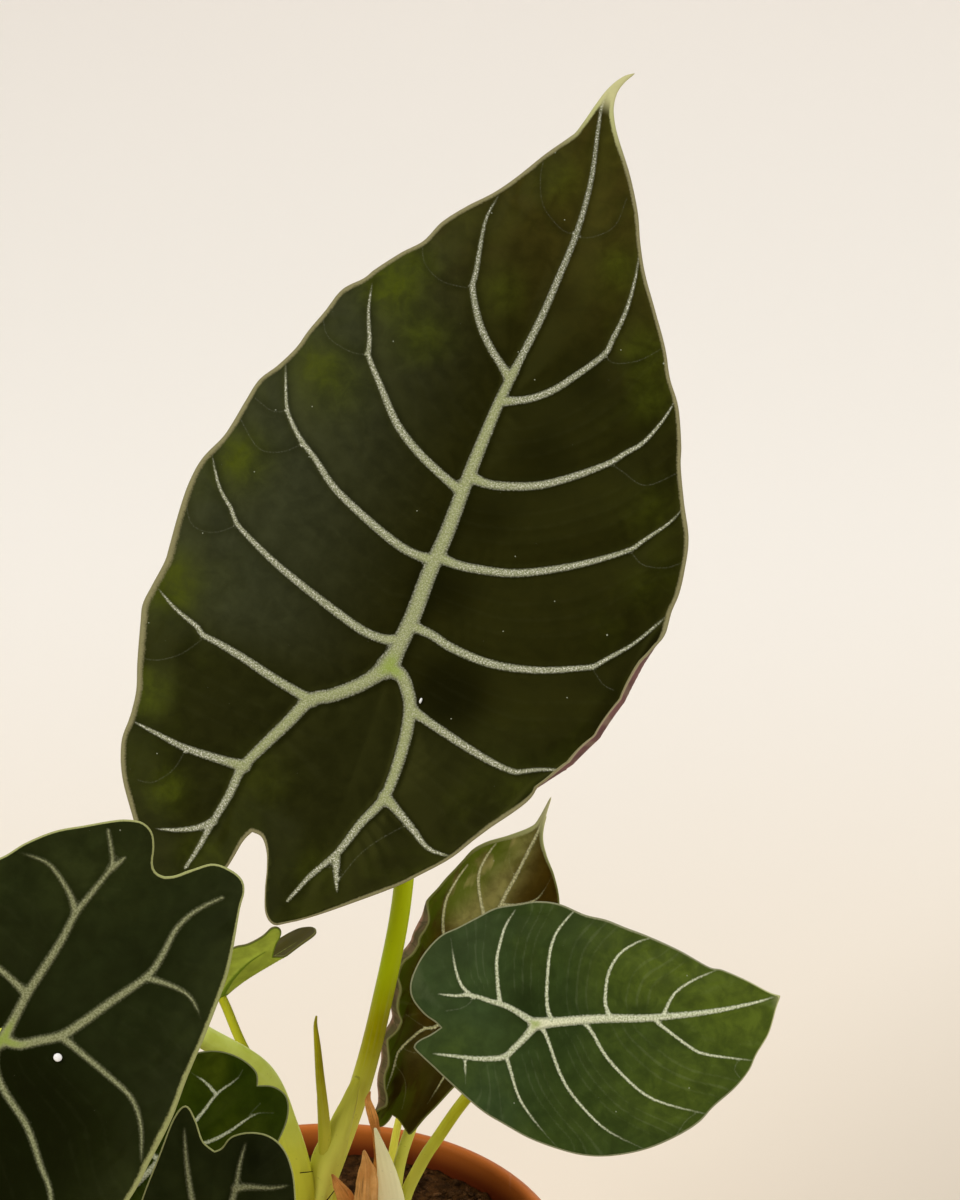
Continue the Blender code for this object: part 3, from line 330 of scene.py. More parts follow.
YOUNG_LEAF = {
    "joint": (36.3, 32, 178.5),
    "apex": (0.403, 0.450, 0.797),
    "face": (-0.299, -0.758, 0.579),
    "right": [
        (-0.8, 59), (0.1, 52.5), (1.7, 48.1), (5, 44.3), (9.5, 40.4), (14, 34.8), (16.9, 27), (18.5, 14),
        (18, 2), (14, -9), (8.4, -18.4), (5.1, -26.6), (3.5, -30.4), (1.6, -35.8), (-0.2, -35.2),
        (-2.9, -33.7), (-4.9, -33.4),
    ],
    "left": [
        (-0.8, 59), (-1.4, 52), (-2.6, 49.4), (-6.8, 45.2), (-11, 41.6), (-13.6, 38.2), (-15, 34.5),
        (-16.6, 30), (-19, 25), (-22.2, 20), (-23.6, 15), (-22.9, 10), (-24, 4.5), (-24, 0), (-22, -5),
        (-19.5, -10), (-19.7, -16), (-17.2, -22), (-15.6, -28), (-12.4, -33.5), (-9, -37.8), (-6.2, -37.4),
        (-5.2, -35.4), (-4.9, -33.4),
    ],
    "veins": [
        (0.62, 0.3, [
            (0, 0), (-0.6, 12), (-1.3, 25), (-1.3, 30), (-0.7, 37), (-0.5, 43), (-0.2, 50), (-0.5, 55),
        ]),
        (0.42, 0.2, [
            (0, 0), (-3.5, -7.4), (-6.7, -9.8), (-8.3, -12.7), (-10.3, -17.9), (-9.7, -22), (-9, -28),
        ]),
        (0.5, 0.15, [(0, 0), (4, -9), (3.8, -18), (2.5, -27)]),
        (0.5, 0.22, [
            (-1.3, 19), (-4.7, 24.2), (-7.4, 28), (-9.1, 30.9), (-10.1, 34.2), (-9.7, 39.4), (-9, 42),
        ]),
        (0.48, 0.22, [(-0.9, 6), (-8, 10), (-12.5, 15.8), (-14.2, 20), (-15, 24), (-14.4, 30), (-13.5, 34)]),
        (0.4, 0.12, [(-0.4, 2), (-8, 1.5), (-16, 4)]),
        (0.36, 0.12, [(-1.3, 28), (3, 29.8), (7.5, 32.9), (8.6, 36.4), (9, 39.8)]),
        (0.4, 0.12, [(-0.8, 10), (8, 14), (12, 20), (14, 26)]),
    ],
    "loops": [
        [(-4, -8.6), (-7, -9.2), (-12.5, -8.2)],
        [(-1, 36), (-2.6, 37.6), (-3.9, 39), (-4.7, 41.4)],
        [(-3.6, -7.6), (-4.9, -12), (-5.6, -16.2), (-9.6, -16.6)],
        [(-9.6, -21.4), (-6, -23.4), (-4.2, -26.4), (-3.2, -31)],
    ],
    "sides": [[6, 7, 2], [3, 4, 5, 1]],
    "tones": [
        (-5, 38, 6, 1), (-7, 30, 6, 1), (-8, 22, 6, 0.9), (-4, 27, 4, 0.5), (-3, 46, 4, 0.8),
        (-12, 27, 4, 0.6), (-13, 37, 4, 0.2), (-6, -14, 6, 0.12), (5, 6, 10, -0.3),
    ],
    "rim": [0.15, (-6, 48, 9, 0.9), (-15, 40, 5, 0.5), (7, 46, 10, 0.25)],
    "dim": 0,
    "arch": 0.5, "lobe_arch": 2, "fold": (14, 14), "cup": (0, 0),
    "wave": 0.6, "ruffle": 0.22,
    "curl": (-1, [
        (-44, 2), (-34, 6.3), (-28, 9), (-22, 10.6), (-16, 13.1), (-10, 12.9), (-5, 15.4), (0, 17.4),
        (5, 17.4), (10, 16.3), (15, 17), (21, 16.8), (25, 15.6), (30, 14.5), (35, 13), (40, 11.5), (46, 7),
    ], 476),
    "grain": 0.6, "tip": 50,
    "stem": [
        (16.8, 5, 112), (18, 8, 126), (19.8, 14, 140), (23.1, 22, 147.5), (28.3, 33, 156.5), (34, 38.5, 168),
    ],
    "stem_radius": (1.9, 1.3),
}

SMALL_LEAF = {
    "joint": (-33.6, -47, 187.9),
    "apex": (-0.705, -0.425, -0.567),
    "face": (0, -0.800, 0.600),
    "right": [
        (0, 48), (3.5, 41), (10.5, 29), (16.5, 15), (18.5, 1), (16.5, -12), (12, -21), (8, -25.5),
        (3, -27.8), (-1.5, -28), (-4, -26),
    ],
    "left": [
        (0, 48), (-4, 41), (-11.5, 29), (-17.5, 15), (-20.5, 1), (-19.5, -11), (-17, -20), (-14.5, -25.8),
        (-11, -29), (-7, -28.6), (-4, -26),
    ],
    "veins": [
        (0.8, 0.2, [(0, 0), (0, 15), (0.5, 30), (0, 44)]),
        (0.52, 0.15, [(0, 0), (0.5, -8), (0.9, -13), (1.6, -17.8), (1, -21.5), (0.6, -24.2), (1.2, -26.2)]),
        (0.34, 0.12, [(1.6, -17.6), (5.2, -17.9), (9.6, -17)]),
        (0.52, 0.12, [(0, 0), (-5, -8.2), (-6.8, -13.1), (-7.8, -18.4), (-8.7, -21.5), (-11.4, -24.3)]),
        (0.5, 0.15, [(0, 3), (9, 4), (15, 9)]),
        (0.5, 0.15, [(0, 3), (-10, 4), (-17, 9)]),
        (0.5, 0.15, [(0, 16), (7, 20), (11, 26)]),
        (0.5, 0.15, [(0, 16), (-8, 20), (-12, 26)]),
    ],
    "loops": [[(-7.8, -18.4), (-7.5, -21), (-7.5, -23.6)]],
    "tones": [(6, -22, 6, 0.6), (-10, -14, 7, 0.4), (2, -26, 4, -0.4)],
    "rim": [0.15],
    "dim": 0,
    "sides": [[6, 4, 2], [7, 5, 3]],
    "arch": 3, "lobe_arch": 2, "fold": (4, 4), "cup": (-3, -3),
    "wave": 0.4,
    "grain": 0.6, "tip": 44,
    "stem": [
        (-10.6, -2.6, 112), (-12.4, -4.8, 126), (-16.5, -9.5, 142), (-23.5, -16, 157), (-30.5, -30, 171),
    ],
    "stem_radius": (1.5, 1.1),
}

LOW_LEAF = {
    "joint": (-21.2, -78, 178.9),
    "apex": (-0.106, -0.368, -0.924),
    "face": (0, -0.929, 0.370),
    "right": [
        (0, 78), (3, 70), (9.5, 56), (15.5, 41), (19.5, 26), (21, 12), (20, 0), (17.5, -13), (14.5, -24),
        (12, -33), (9.6, -36.2), (7.2, -33), (5, -28.2), (2, -26),
    ],
    "left": [
        (0, 78), (-3.5, 69), (-10, 55), (-16, 41), (-20, 26), (-21.5, 11), (-20, -4), (-18, -15),
        (-16.5, -23), (-13.8, -28.6), (-10, -31.2), (-5.5, -31.4), (-1.5, -29.8), (0.3, -27), (2, -26),
    ],
    "veins": [
        (1, 0.2, [(0, 0), (0, 20), (0.5, 40), (0.5, 60), (0, 73)]),
        (0.9, 0.2, [(0, 0), (5, -11), (8, -22), (9.5, -31)]),
        (1, 0.2, [(0, 0), (-1.6, -8), (-3, -14), (-3.8, -19), (-4.1, -24), (-5, -29)]),
        (0.72, 0.18, [(-3.6, -18), (-6.2, -18.7), (-11.8, -19), (-16, -20.2)]),
        (0.6, 0.15, [(0, 2), (9, 2), (17, 7)]),
        (0.6, 0.15, [(0, 2), (-9, 1), (-18, 5)]),
        (0.6, 0.15, [(0, 20), (9, 24), (16, 32)]),
        (0.6, 0.15, [(0, 20), (-9, 24), (-16, 32)]),
        (0.5, 0.15, [(0.5, 38), (6, 43), (10, 50)]),
        (0.5, 0.15, [(0.5, 38), (-6, 43), (-10, 50)]),
    ],
    "sides": [[8, 6, 4, 1], [9, 7, 5, 3, 2]],
    "tones": [(-8, -26, 8, -0.6), (4, -12, 8, -0.2)],
    "rim": [0.15],
    "dim": 0,
    "arch": 2.5, "lobe_arch": 2, "fold": (4, 4), "cup": (-3, -3),
    "wave": 0.5,
    "grain": 0.7, "tip": 72,
    "stem": [
        (-4.4, -13, 112), (-5.6, -16, 124), (-9, -25, 141), (-14, -41, 161), (-18.6, -58, 174),
    ],
    "stem_radius": (1.7, 1.2),
}

CURLED_LEAF = {
    "joint": (-25.2, 14, 193.6),
    "apex": (-0.830, -0.080, -0.500),
    "face": (-0.420, 0.420, 0.800),
    "right": [
        (0, 44), (2.5, 38), (8, 27), (13, 14), (16, 2), (17.2, -8), (18.2, -15.3), (18.4, -19.7),
        (16.6, -23), (11.1, -26.8), (6.1, -28.4), (3, -28), (2, -24.2), (0.2, -20), (-2.6, -17.4),
    ],
    "left": [
        (0, 44), (-3, 38), (-9, 27), (-13, 14), (-14.2, 2), (-14, -6), (-13.3, -12.1), (-11.6, -15.4),
        (-11.1, -19.6), (-11.8, -22.9), (-10.7, -24.2), (-8.8, -23.8), (-7.3, -22.4), (-6.2, -20.7),
        (-4.1, -18.6), (-2.6, -17.4),
    ],
    "veins": [
        (0.7, 0.2, [(0, 0), (0, 14), (0, 28), (0, 40)]),
        (0.6, 0.2, [(0, 0), (4, -8), (6, -16), (6, -23)]),
        (0.6, 0.2, [(0, 0), (-4, -6), (-6, -12), (-6, -17)]),
        (0.5, 0.15, [(0, 12), (6, 15), (9, 20)]),
        (0.5, 0.15, [(0, 12), (-6, 15), (-9, 20)]),
    ],
    "sides": [[3, 1], [4, 2]],
    "tones": [(12, -22, 20, -0.45)],
    "rim": [0.15],
    "dim": 0,
    "arch": 4, "lobe_arch": 2, "fold": (38, 12), "cup": (8, 4),
    "wave": 0.5,
    "grain": 0.55, "tip": 40,
    "stem": [
        (-11, 5, 112), (-9.6, 5.2, 126), (-8, 5.4, 140), (-10, 5.6, 156), (-14.7, 7, 171), (-20, 9.5, 182),
    ],
    "stem_radius": (1.4, 1.2),
}

LEAVES = {
    "main": MAIN_LEAF, "left": LEFT_LEAF, "right": RIGHT_LEAF, "young": YOUNG_LEAF,
    "small": SMALL_LEAF, "low": LOW_LEAF, "curled": CURLED_LEAF,
}

# The colours and amounts that the leaf shaders take, under the names of their sockets. Side is the
# colour left of the midrib, a painted sheen on the dark leaf, Top near the apex and Lobe below the
# joint, a painted sheen on the green leaf, each as Blade if not given.
SKINS = {
    "dark": {
        "Blade": (0.0098, 0.0092, 0.0010), "Side": (0.026, 0.029, 0.0135), "Top": (0.031, 0.025, 0.0036),
        "Lobe": (0.0115, 0.0120, 0.0024), "Patch": (0.044, 0.056, 0.0030), "Sheen Streak": (0.042, 0.050, 0.020),
        "Lateral": (0.30, 0.31, 0.21), "Midrib": (0.285, 0.31, 0.15), "Margin": (0.26, 0.24, 0.125),
        "Patch Amount": 0.2, "Sparkle": 0.7, "Halo": 0.3, "Lines": 0.012, "Softness": 0.2, "Heart": 0.5,
        "Streaks": 0.12, "Fade": 0.66,
        "Under": (0.150, 0.070, 0.066), "Under Vein": (0.30, 0.25, 0.15), "Mottle": 0.0,
    },
    "shade": {
        "Blade": (0.0085, 0.0120, 0.0022), "Top": (0.0060, 0.0085, 0.0016), "Lobe": (0.0105, 0.0150, 0.0042),
        "Patch": (0.030, 0.040, 0.010), "Sheen Streak": (0.030, 0.036, 0.016),
        "Lateral": (0.27, 0.285, 0.165), "Midrib": (0.28, 0.295, 0.155), "Margin": (0.38, 0.41, 0.165),
        "Patch Amount": 0.3, "Sparkle": 0.0, "Halo": 0.3, "Lines": 0.02, "Softness": 0.5, "Heart": 0.7,
        "Streaks": 0.12, "Fade": 1.0,
        "Under": (0.150, 0.070, 0.066), "Under Vein": (0.30, 0.25, 0.15), "Mottle": 0.0,
    },
    "green": {
        "Blade": (0.0235, 0.041, 0.0095), "Top": (0.031, 0.052, 0.0085), "Lobe": (0.033, 0.057, 0.0185),
        "Patch": (0.070, 0.101, 0.011), "Sheen Streak": (0.052, 0.070, 0.030),
        "Lateral": (0.58, 0.62, 0.44), "Midrib": (0.70, 0.71, 0.50), "Margin": (0.27, 0.29, 0.17),
        "Patch Amount": 0.2, "Sparkle": 0.35, "Halo": 0.12, "Lines": 0.09, "Softness": 0.16, "Heart": 0.22,
        "Streaks": 0.15, "Fade": 1.0,
        "Under": (0.140, 0.150, 0.050), "Under Vein": (0.34, 0.36, 0.16), "Mottle": 0.0,
    },
    "glossy": {
        "Blade": (0.016, 0.030, 0.0008), "Top": (0.020, 0.034, 0.0010), "Lobe": (0.018, 0.033, 0.0010),
        "Patch": (0.060, 0.080, 0.004), "Sheen Streak": (0.040, 0.055, 0.010),
        "Lateral": (0.50, 0.55, 0.38), "Midrib": (0.50, 0.55, 0.38), "Margin": (0.20, 0.23, 0.10),
        "Patch Amount": 0.15, "Sparkle": 0.3, "Halo": 0.1, "Lines": 0.04, "Softness": 0.16, "Heart": 0.2,
        "Streaks": 0.1, "Fade": 1.0,
        "Under": (0.140, 0.150, 0.050), "Under Vein": (0.34, 0.36, 0.16), "Mottle": 0.0,
    },
    "bronze": {
        "Blade": (0.064, 0.033, 0.0014), "Top": (0.075, 0.042, 0.0020), "Lobe": (0.034, 0.021, 0.0015),
        "Patch": (0.27, 0.25, 0.075), "Sheen Streak": (0.085, 0.125, 0.0050),
        "Lateral": (0.68, 0.66, 0.38), "Midrib": (0.74, 0.71, 0.42), "Margin": (0.150, 0.165, 0.035),
        "Patch Amount": 0.1, "Sparkle": 0.0, "Halo": 0.1, "Lines": 0.06, "Softness": 0.15, "Heart": 0.3,
        "Streaks": 0.85, "Fade": 1.0,
        "Under": (0.38, 0.215, 0.135), "Under Vein": (0.20, 0.20, 0.07), "Mottle": 0.65,
    },
    "fresh": {
        "Blade": (0.062, 0.053, 0.0070), "Patch": (0.10, 0.10, 0.014), "Sheen Streak": (0.05, 0.05, 0.01),
        "Lateral": (0.20, 0.22, 0.05), "Midrib": (0.20, 0.22, 0.05), "Margin": (0.14, 0.14, 0.04),
        "Patch Amount": 0.3, "Sparkle": 0.0, "Halo": 0.1, "Lines": 0.1, "Softness": 0.15, "Heart": 0.2,
        "Streaks": 0.1, "Fade": 1.0,
        "Under": (0.43, 0.54, 0.065), "Under Vein": (0.15, 0.24, 0.012), "Mottle": 0.0,
    },
}

LEAF_SKINS = {
    "main": "dark", "left": "shade", "right": "green", "young": "bronze",
    "small": "glossy", "low": "shade", "curled": "fresh",
}

# A vein's ridge beside its pale band: how wide above and below, and how much higher below.
VEIN_SPREAD = 1.25
UNDER_SPREAD = 1.5
UNDER_RISE = 1.85

# The other sizes that the leaves share, in millimetres. THICK_VEIN is half the width from which a
# vein has its full height, LOOP_HALF half the width of a loop, and VEIN_FLARE how far a vein flares
# from its start. The REACH values say how far from a vein the blade is pillowed, from the margin it
# is flatter and thinner, and from the midrib it is darkened with painted shade.
THICK_VEIN = 1.8
LOOP_HALF = 0.17
VEIN_FLARE = 3.0
PILLOW_REACH = 5.0
MARGIN_REACH = 9.0
DIM_REACH = 3.6
MARGIN_BULGE = 0.2
MARGIN_WAVE = 9.0
RUFFLES = (1.5, 3.7)
ROLL_FADE = 12.0
RIPPLE_SPACING = 2.9
# The number of fine arcs between two veins.
ARC_COUNT = 6
# Spacings of the mesh beside its grain: along margins and veins, and between rows.
ALONG_LINES = 0.9
ROW_SPACING = 0.87
# How deep the stalks, shoots and sheaths stand in the soil, in millimetres.
STEM_DEPTH = 8.5


def smooth(points, step):
    """A Catmull-Rom curve through the points, at about the step."""
    ends = [points[0]] + list(points) + [points[-1]]
    found = []
    for a, b, c, d in zip(ends, ends[1:], ends[2:], ends[3:]):
        count = max(1, round(math.dist(b[:3], c[:3]) / step))
        for i in range(count):
            t = i / count
            found.append(tuple(
                q + 0.5 * t * (r - p + t * (2 * p - 5 * q + 4 * r - s + t * (3 * q - p - 3 * r + s)))
                for p, q, r, s in zip(a, b, c, d)
            ))
    found.append(tuple(points[-1]))
    return found


def spaced(points, step):
    """The same line with its points one step apart, both ends kept."""
    line = np.array(points, float)
    lengths = np.concatenate([[0.0], np.cumsum(np.linalg.norm(np.diff(line, axis=0), axis=1))])
    count = max(1, round(lengths[-1] / step))
    wanted = np.linspace(0.0, lengths[-1], count + 1)
    return np.stack([np.interp(wanted, lengths, line[:, k]) for k in range(line.shape[1])], axis=1)


def to_line(points, line):
    """Each point's distance to the line, and how far along the line that is, from 0 to 1."""
    line = np.asarray(line, float)
    lengths = np.linalg.norm(np.diff(line, axis=0), axis=1)
    starts = np.concatenate([[0.0], np.cumsum(lengths)])
    best = np.full(len(points), 1e9)
    at = np.zeros(len(points))
    for i, length in enumerate(lengths):
        if length < 1e-9:
            continue
        way = (line[i + 1] - line[i]) / length
        offset = points - line[i]
        t = np.clip(offset @ way, 0.0, length)
        gap = np.hypot(offset[:, 0] - t * way[0], offset[:, 1] - t * way[1])
        nearer = gap < best
        best[nearer] = gap[nearer]
        at[nearer] = (starts[i] + t[nearer]) / starts[-1]
    return best, at


def arc(length, start, curvature):
    """How far along and up arcs get that start at this angle."""
    flat = np.abs(curvature) < 1e-6
    safe = np.where(flat, 1.0, curvature)
    end = start + curvature * length
    along = np.where(flat, length * np.cos(start), (np.sin(end) - np.sin(start)) / safe)
    up = np.where(flat, length * np.sin(start), (np.cos(start) - np.cos(end)) / safe)
    return along, up


def bent(leaf, x, y, height):
    """Where points of the flat leaf go, in the leaf's own axes and millimetres."""
    side = np.where(x >= 0, 1.0, -1.0)
    across = np.abs(x)
    fold = np.radians(np.where(x < 0, leaf["fold"][0], leaf["fold"][1]))
    cup = np.where(x < 0, leaf["cup"][0], leaf["cup"][1]) * MM
    out, up = arc(across, fold, cup)
    lean = fold + cup * across
    if "curl" in leaf:
        hand, table, strength = leaf["curl"]
        rows = np.array(table, float)
        start = np.interp(y, rows[:, 0], rows[:, 1])
        start = start + leaf.get("ruffle", 0.0) * (np.sin(y / RUFFLES[0]) + np.sin(y / RUFFLES[1] + 1.0))
        from_ends = np.minimum((y - rows[0, 0]) / ROLL_FADE, (rows[-1, 0] - y) / ROLL_FADE)
        inside = np.clip(from_ends, 0.0, 1.0)
        rolled = (side == hand) & (across > start) & (inside > 0)
        first, rise = arc(start, fold, cup)
        bend = cup + strength * MM * inside
        more, lift = arc(across - start, fold + cup * start, bend)
        out = np.where(rolled, first + more, out)
        up = np.where(rolled, rise + lift, up)
        lean = np.where(rolled, fold + cup * start + bend * (across - start), lean)
    edge = np.minimum(1.0, across / leaf["width"]) ** 2
    raised = height + leaf["wave"] * edge * np.sin(y / MARGIN_WAVE + 1.3 * side)
    out = out - raised * np.sin(lean)
    up = up + raised * np.cos(lean)
    curvature = np.where(y >= 0, leaf["arch"], -leaf["lobe_arch"]) * MM
    along, drop = arc(y, np.zeros_like(y), curvature)
    tilt = curvature * y
    return np.stack([side * out, along + up * np.sin(tilt), up * np.cos(tilt) - drop], axis=1)


def placing(leaf):
    """The leaf's own axes, as rows, and its joint, in metres."""
    along = Vector(leaf["apex"]).normalized()
    across = along.cross(Vector(leaf["face"])).normalized()
    return np.array([across, along, across.cross(along)]), np.array(leaf["joint"]) * MM


def half_width(wide, narrow, line, at):
    """Half a vein's width at a share of its length: broadest where it leaves the thicker vein."""
    length = float(np.linalg.norm(np.diff(line, axis=0), axis=1).sum())
    flare = 0.35 * wide * np.exp(-((at * length) / VEIN_FLARE) ** 2)
    return wide + (narrow - wide) * at ** 1.7 + flare


def rim_share(leaf, flat, edge):
    """How far in from the margin each point is, in widths of the pale rim there."""
    width = np.full(len(flat), leaf["rim"][0])
    for x, y, reach, more in leaf["rim"][1:]:
        width += more * np.exp(-((flat[:, 0] - x) ** 2 + (flat[:, 1] - y) ** 2) / reach ** 2)
    return edge / np.maximum(width, 0.1)


def ripples(leaf, flat):
    """Wrinkles that run in arcs round the places where veins fork."""
    found = np.zeros(len(flat))
    bends = np.sin(flat[:, 0] / 2.7 + 0.7) + np.sin(flat[:, 1] / 3.9 + 2.0)
    for x, y, reach, height in leaf.get("ripples", []):
        away = np.hypot(flat[:, 0] - x, 0.8 * (flat[:, 1] - y))
        spot = np.exp(-((away - 0.8 * reach) / (0.5 * reach)) ** 2)
        spot *= np.clip((flat[:, 0] - x) / 4.0, 0.0, 1.0)
        found += height * spot * np.cos(2 * math.pi * away / RIPPLE_SPACING + 0.8 * bends)
    return found


def tones(leaf, flat, midrib):
    """Where the blade is mossier, above zero, which on the young leaf is painted light, or darker with
    painted shade, below it, most of all beside the midrib.
    """
    found = np.zeros(len(flat))
    for x, y, reach, amount in leaf["tones"]:
        found += amount * np.exp(-((flat[:, 0] - x) ** 2 + (flat[:, 1] - y) ** 2) / reach ** 2)
    away, _ = to_line(flat, midrib)
    reached = np.maximum(flat[:, 1], 0.0) / leaf["tip"]
    found -= leaf["dim"] * np.exp(-(away / DIM_REACH) ** 2) * np.clip(1.1 - 1.8 * reached, 0.0, 1.0)
    return np.clip(found, -1.0, 1.0)


def fine_arcs(leaf, flat, gaps):
    """Fine arcs that cross the fields between neighbouring veins, as a wave from -1 to 1."""
    arcs = np.zeros(len(flat))
    for hand, order in zip((1, -1), leaf["sides"]):
        table = np.stack([gaps[k] for k in order])
        sums = table[:-1] + table[1:]
        pick = np.argmin(sums, axis=0)
        low = np.take_along_axis(table, pick[None], 0)[0]
        share = low / np.take_along_axis(sums, pick[None], 0)[0]
        wave = np.cos(2 * math.pi * share * ARC_COUNT) * np.sin(math.pi * share)
        arcs = np.where(flat[:, 0] * hand > 0, wave, arcs)
    return arcs * np.where(flat[:, 1] < 0, np.clip(np.abs(flat[:, 0]) / 6.0 - 0.4, 0.0, 1.0), 1.0)


def relief(leaf, flat, veins, loops, vein_height):
    """The leaf's surface at each flat point: vein and margin distances, ridges, pillows and arcs."""
    vein = np.full(len(flat), -1e3)
    rank = np.zeros(len(flat))
    ridge = np.zeros(len(flat))
    under = np.zeros(len(flat))
    near = np.full(len(flat), 1e3)
    gaps = []
    for wide, narrow, line in veins:
        gap, at = to_line(flat, line)
        gaps.append(gap)
        half = half_width(wide, narrow, line, at)
        inside = half - gap
        better = inside > vein
        vein = np.where(better, inside, vein)
        rank = np.where(better, half, rank)
        near = np.minimum(near, gap)
        rise = np.minimum(half / THICK_VEIN, 1.0)
        for store, spread, height in (
            (ridge, VEIN_SPREAD, vein_height), (under, UNDER_SPREAD, UNDER_RISE * vein_height),
        ):
            profile = np.clip(1 - (gap / (half * spread)) ** 2, 0.0, 1.0)
            np.maximum(store, height * rise * profile ** 0.75, out=store)
    for line in loops:
        gap, _ = to_line(flat, line)
        better = LOOP_HALF - gap > vein
        vein = np.where(better, LOOP_HALF - gap, vein)
        rank = np.where(better, LOOP_HALF, rank)
    return vein, rank, ridge, under, near, fine_arcs(leaf, flat, gaps)


def inside_of(points, loop):
    """Which points lie inside the closed loop."""
    found = np.zeros(len(points), bool)
    for (ax, ay), (bx, by) in zip(loop, np.roll(loop, -1, axis=0)):
        spans = (ay > points[:, 1]) != (by > points[:, 1])
        if ay != by:
            found ^= spans & (points[:, 0] < ax + (points[:, 1] - ay) * (bx - ax) / (by - ay))
    return found


def vein_rails(veins, rim, step):
    """Lines for the mesh to follow: along each vein's middle, and along its two feet."""
    foot = 0.12
    clear = 0.2
    closed = np.concatenate([rim, rim[:1]])
    lines = []
    for number, (wide, narrow, line) in enumerate(veins):
        line = spaced(line, step)
        way = np.gradient(line, axis=0)
        way /= np.linalg.norm(way, axis=1, keepdims=True)
        across = np.stack([-way[:, 1], way[:, 0]], axis=1)
        half = half_width(wide, narrow, line, np.linspace(0.0, 1.0, len(line)))[:, None] + foot
        for rail in (line, line + across * half, line - across * half):
            gap, _ = to_line(rail, closed)
            kept = inside_of(rail, rim) & (gap > 0.45 * step)
            for other, (thick, thin, path) in enumerate(veins):
                if other == number or (rail is line and other > number):
                    continue
                away, at = to_line(rail, path)
                kept &= away > half_width(thick, thin, path, at) + clear
            ends = np.flatnonzero(np.diff(kept.astype(int))) + 1
            for run, keep in zip(np.split(rail, ends), np.split(kept, ends)):
                if keep[0] and len(run) > 1:
                    lines.append(run)
    return lines


def set_uv(mesh, name, values):
    """Adds a UV map with a pair of values for each corner of the faces."""
    layer = mesh.uv_layers.new(name=name)
    layer.data.foreach_set("uv", np.ascontiguousarray(values, np.float32).ravel())


def smooth_mesh(name, places, faces):
    """A mesh of these points and faces, shaded smooth."""
    mesh = bpy.data.meshes.new(name)
    mesh.from_pydata(places, [], faces)
    mesh.polygons.foreach_set("use_smooth", np.ones(len(mesh.polygons), bool))
    mesh.update()
    return mesh


def margin(leaf):
    """The leaf's outline, from the apex down its left side to the notch and up its right side."""
    step = leaf["grain"] * ALONG_LINES
    right = spaced(smooth(leaf["right"], 0.5), step)
    left = spaced(smooth(leaf["left"], 0.5), step)
    return np.concatenate([left[:-1], right[:0:-1]])


def inner_points(rim, grain):
    """Points in staggered rows inside the margin and clear of it."""
    low, high = rim.min(axis=0), rim.max(axis=0)
    rows = []
    for number, y in enumerate(np.arange(low[1], high[1], grain * ROW_SPACING)):
        xs = np.arange(low[0] + 0.5 * grain * (number % 2), high[0], grain)
        rows.append(np.stack([xs, np.full(len(xs), y)], axis=1))
    grid = np.concatenate(rows)
    grid = grid[inside_of(grid, rim)]
    closed = np.concatenate([rim, rim[:1]])
    gap, _ = to_line(grid, closed[::3] if len(closed) > 400 else closed)
    return grid[gap > grain * 0.55]


def flat_mesh(rim, lines, grain):
    """The flat leaf's points, the margin's first, and its triangles, whose edges follow the lines."""
    points = [Vector(p) for p in rim]
    edges = [(i, (i + 1) % len(rim)) for i in range(len(rim))]
    for rail in vein_rails(lines, rim, grain * ALONG_LINES):
        edges += [(len(points) + i, len(points) + i + 1) for i in range(len(rail) - 1)]
        points += [Vector(p) for p in rail]
    tree = KDTree(len(points))
    for i, point in enumerate(points):
        tree.insert(point.to_3d(), i)
    tree.balance()
    grid = inner_points(rim, grain)
    points += [Vector(p) for p in grid if tree.find((p[0], p[1], 0.0))[2] > grain * 0.5]
    result = delaunay_2d_cdt(points, edges, [list(range(len(rim)))[::-1]], 1, 1e-5)
    flat = np.array([(p.x, p.y) for p in result[0]])
    used, triangles = np.unique(np.array(result[2], int), return_inverse=True)
    return flat[used], triangles.reshape(-1, 3)


def blade_sides(leaf, flat, edge, near, arcs, thickness):
    """The heights of the leaf's upper side and underside at each flat point, without its veins."""
    inner = np.clip(edge / MARGIN_REACH, 0.0, 1.0)
    pillow = (1 - np.exp(-(near / PILLOW_REACH) ** 2)) * inner * 0.75 - 0.35
    patchy = 0.5 + 0.5 * np.sin(flat[:, 1] / 6.5 + 1.0) * np.sin(flat[:, 0] / 7.0 + 0.6)
    crinkle = arcs * 0.11 * patchy * inner * np.exp(-(np.abs(flat[:, 0]) / 26.0) ** 2)
    swell = 0.22 * np.exp(-(edge / 0.7) ** 2)
    tops = pillow + crinkle + swell + ripples(leaf, flat) * inner
    bottoms = pillow - thickness * (0.62 + 0.38 * inner) - 0.5 * swell
    return tops, bottoms


def shell_faces(triangles, count, rim_count):
    """The faces of the upper side, the underside and the two strips round the margin."""
    top = np.arange(rim_count)
    following = np.roll(top, -1)
    middle = 2 * count
    upper = np.stack([top, top + middle, following + middle, following], axis=1)
    lower = np.stack([top + middle, top + count, following + count, following + middle], axis=1)
    faces = triangles.tolist() + (triangles[:, ::-1] + count).tolist()
    return faces + upper.tolist() + lower.tolist()


def bake_sheet(whole, point_of, count, rim_count):
    """Each corner's place in the sheet for baking: the upper side on the left, the underside beside it."""
    gap = 2.0
    low, high = whole.min(axis=0), whole.max(axis=0)
    wide, tall = high - low
    spread = max(2 * wide + 3 * gap, tall + 2 * gap)
    shift = (wide + 1.5 * gap) / spread
    places = (whole - low + gap) / spread
    places[count:2 * count, 0] += shift
    sheet = places[point_of]
    lower_strip = sheet[-4 * rim_count:]
    lower_strip[point_of[-4 * rim_count:] >= 2 * count, 0] += shift
    return sheet


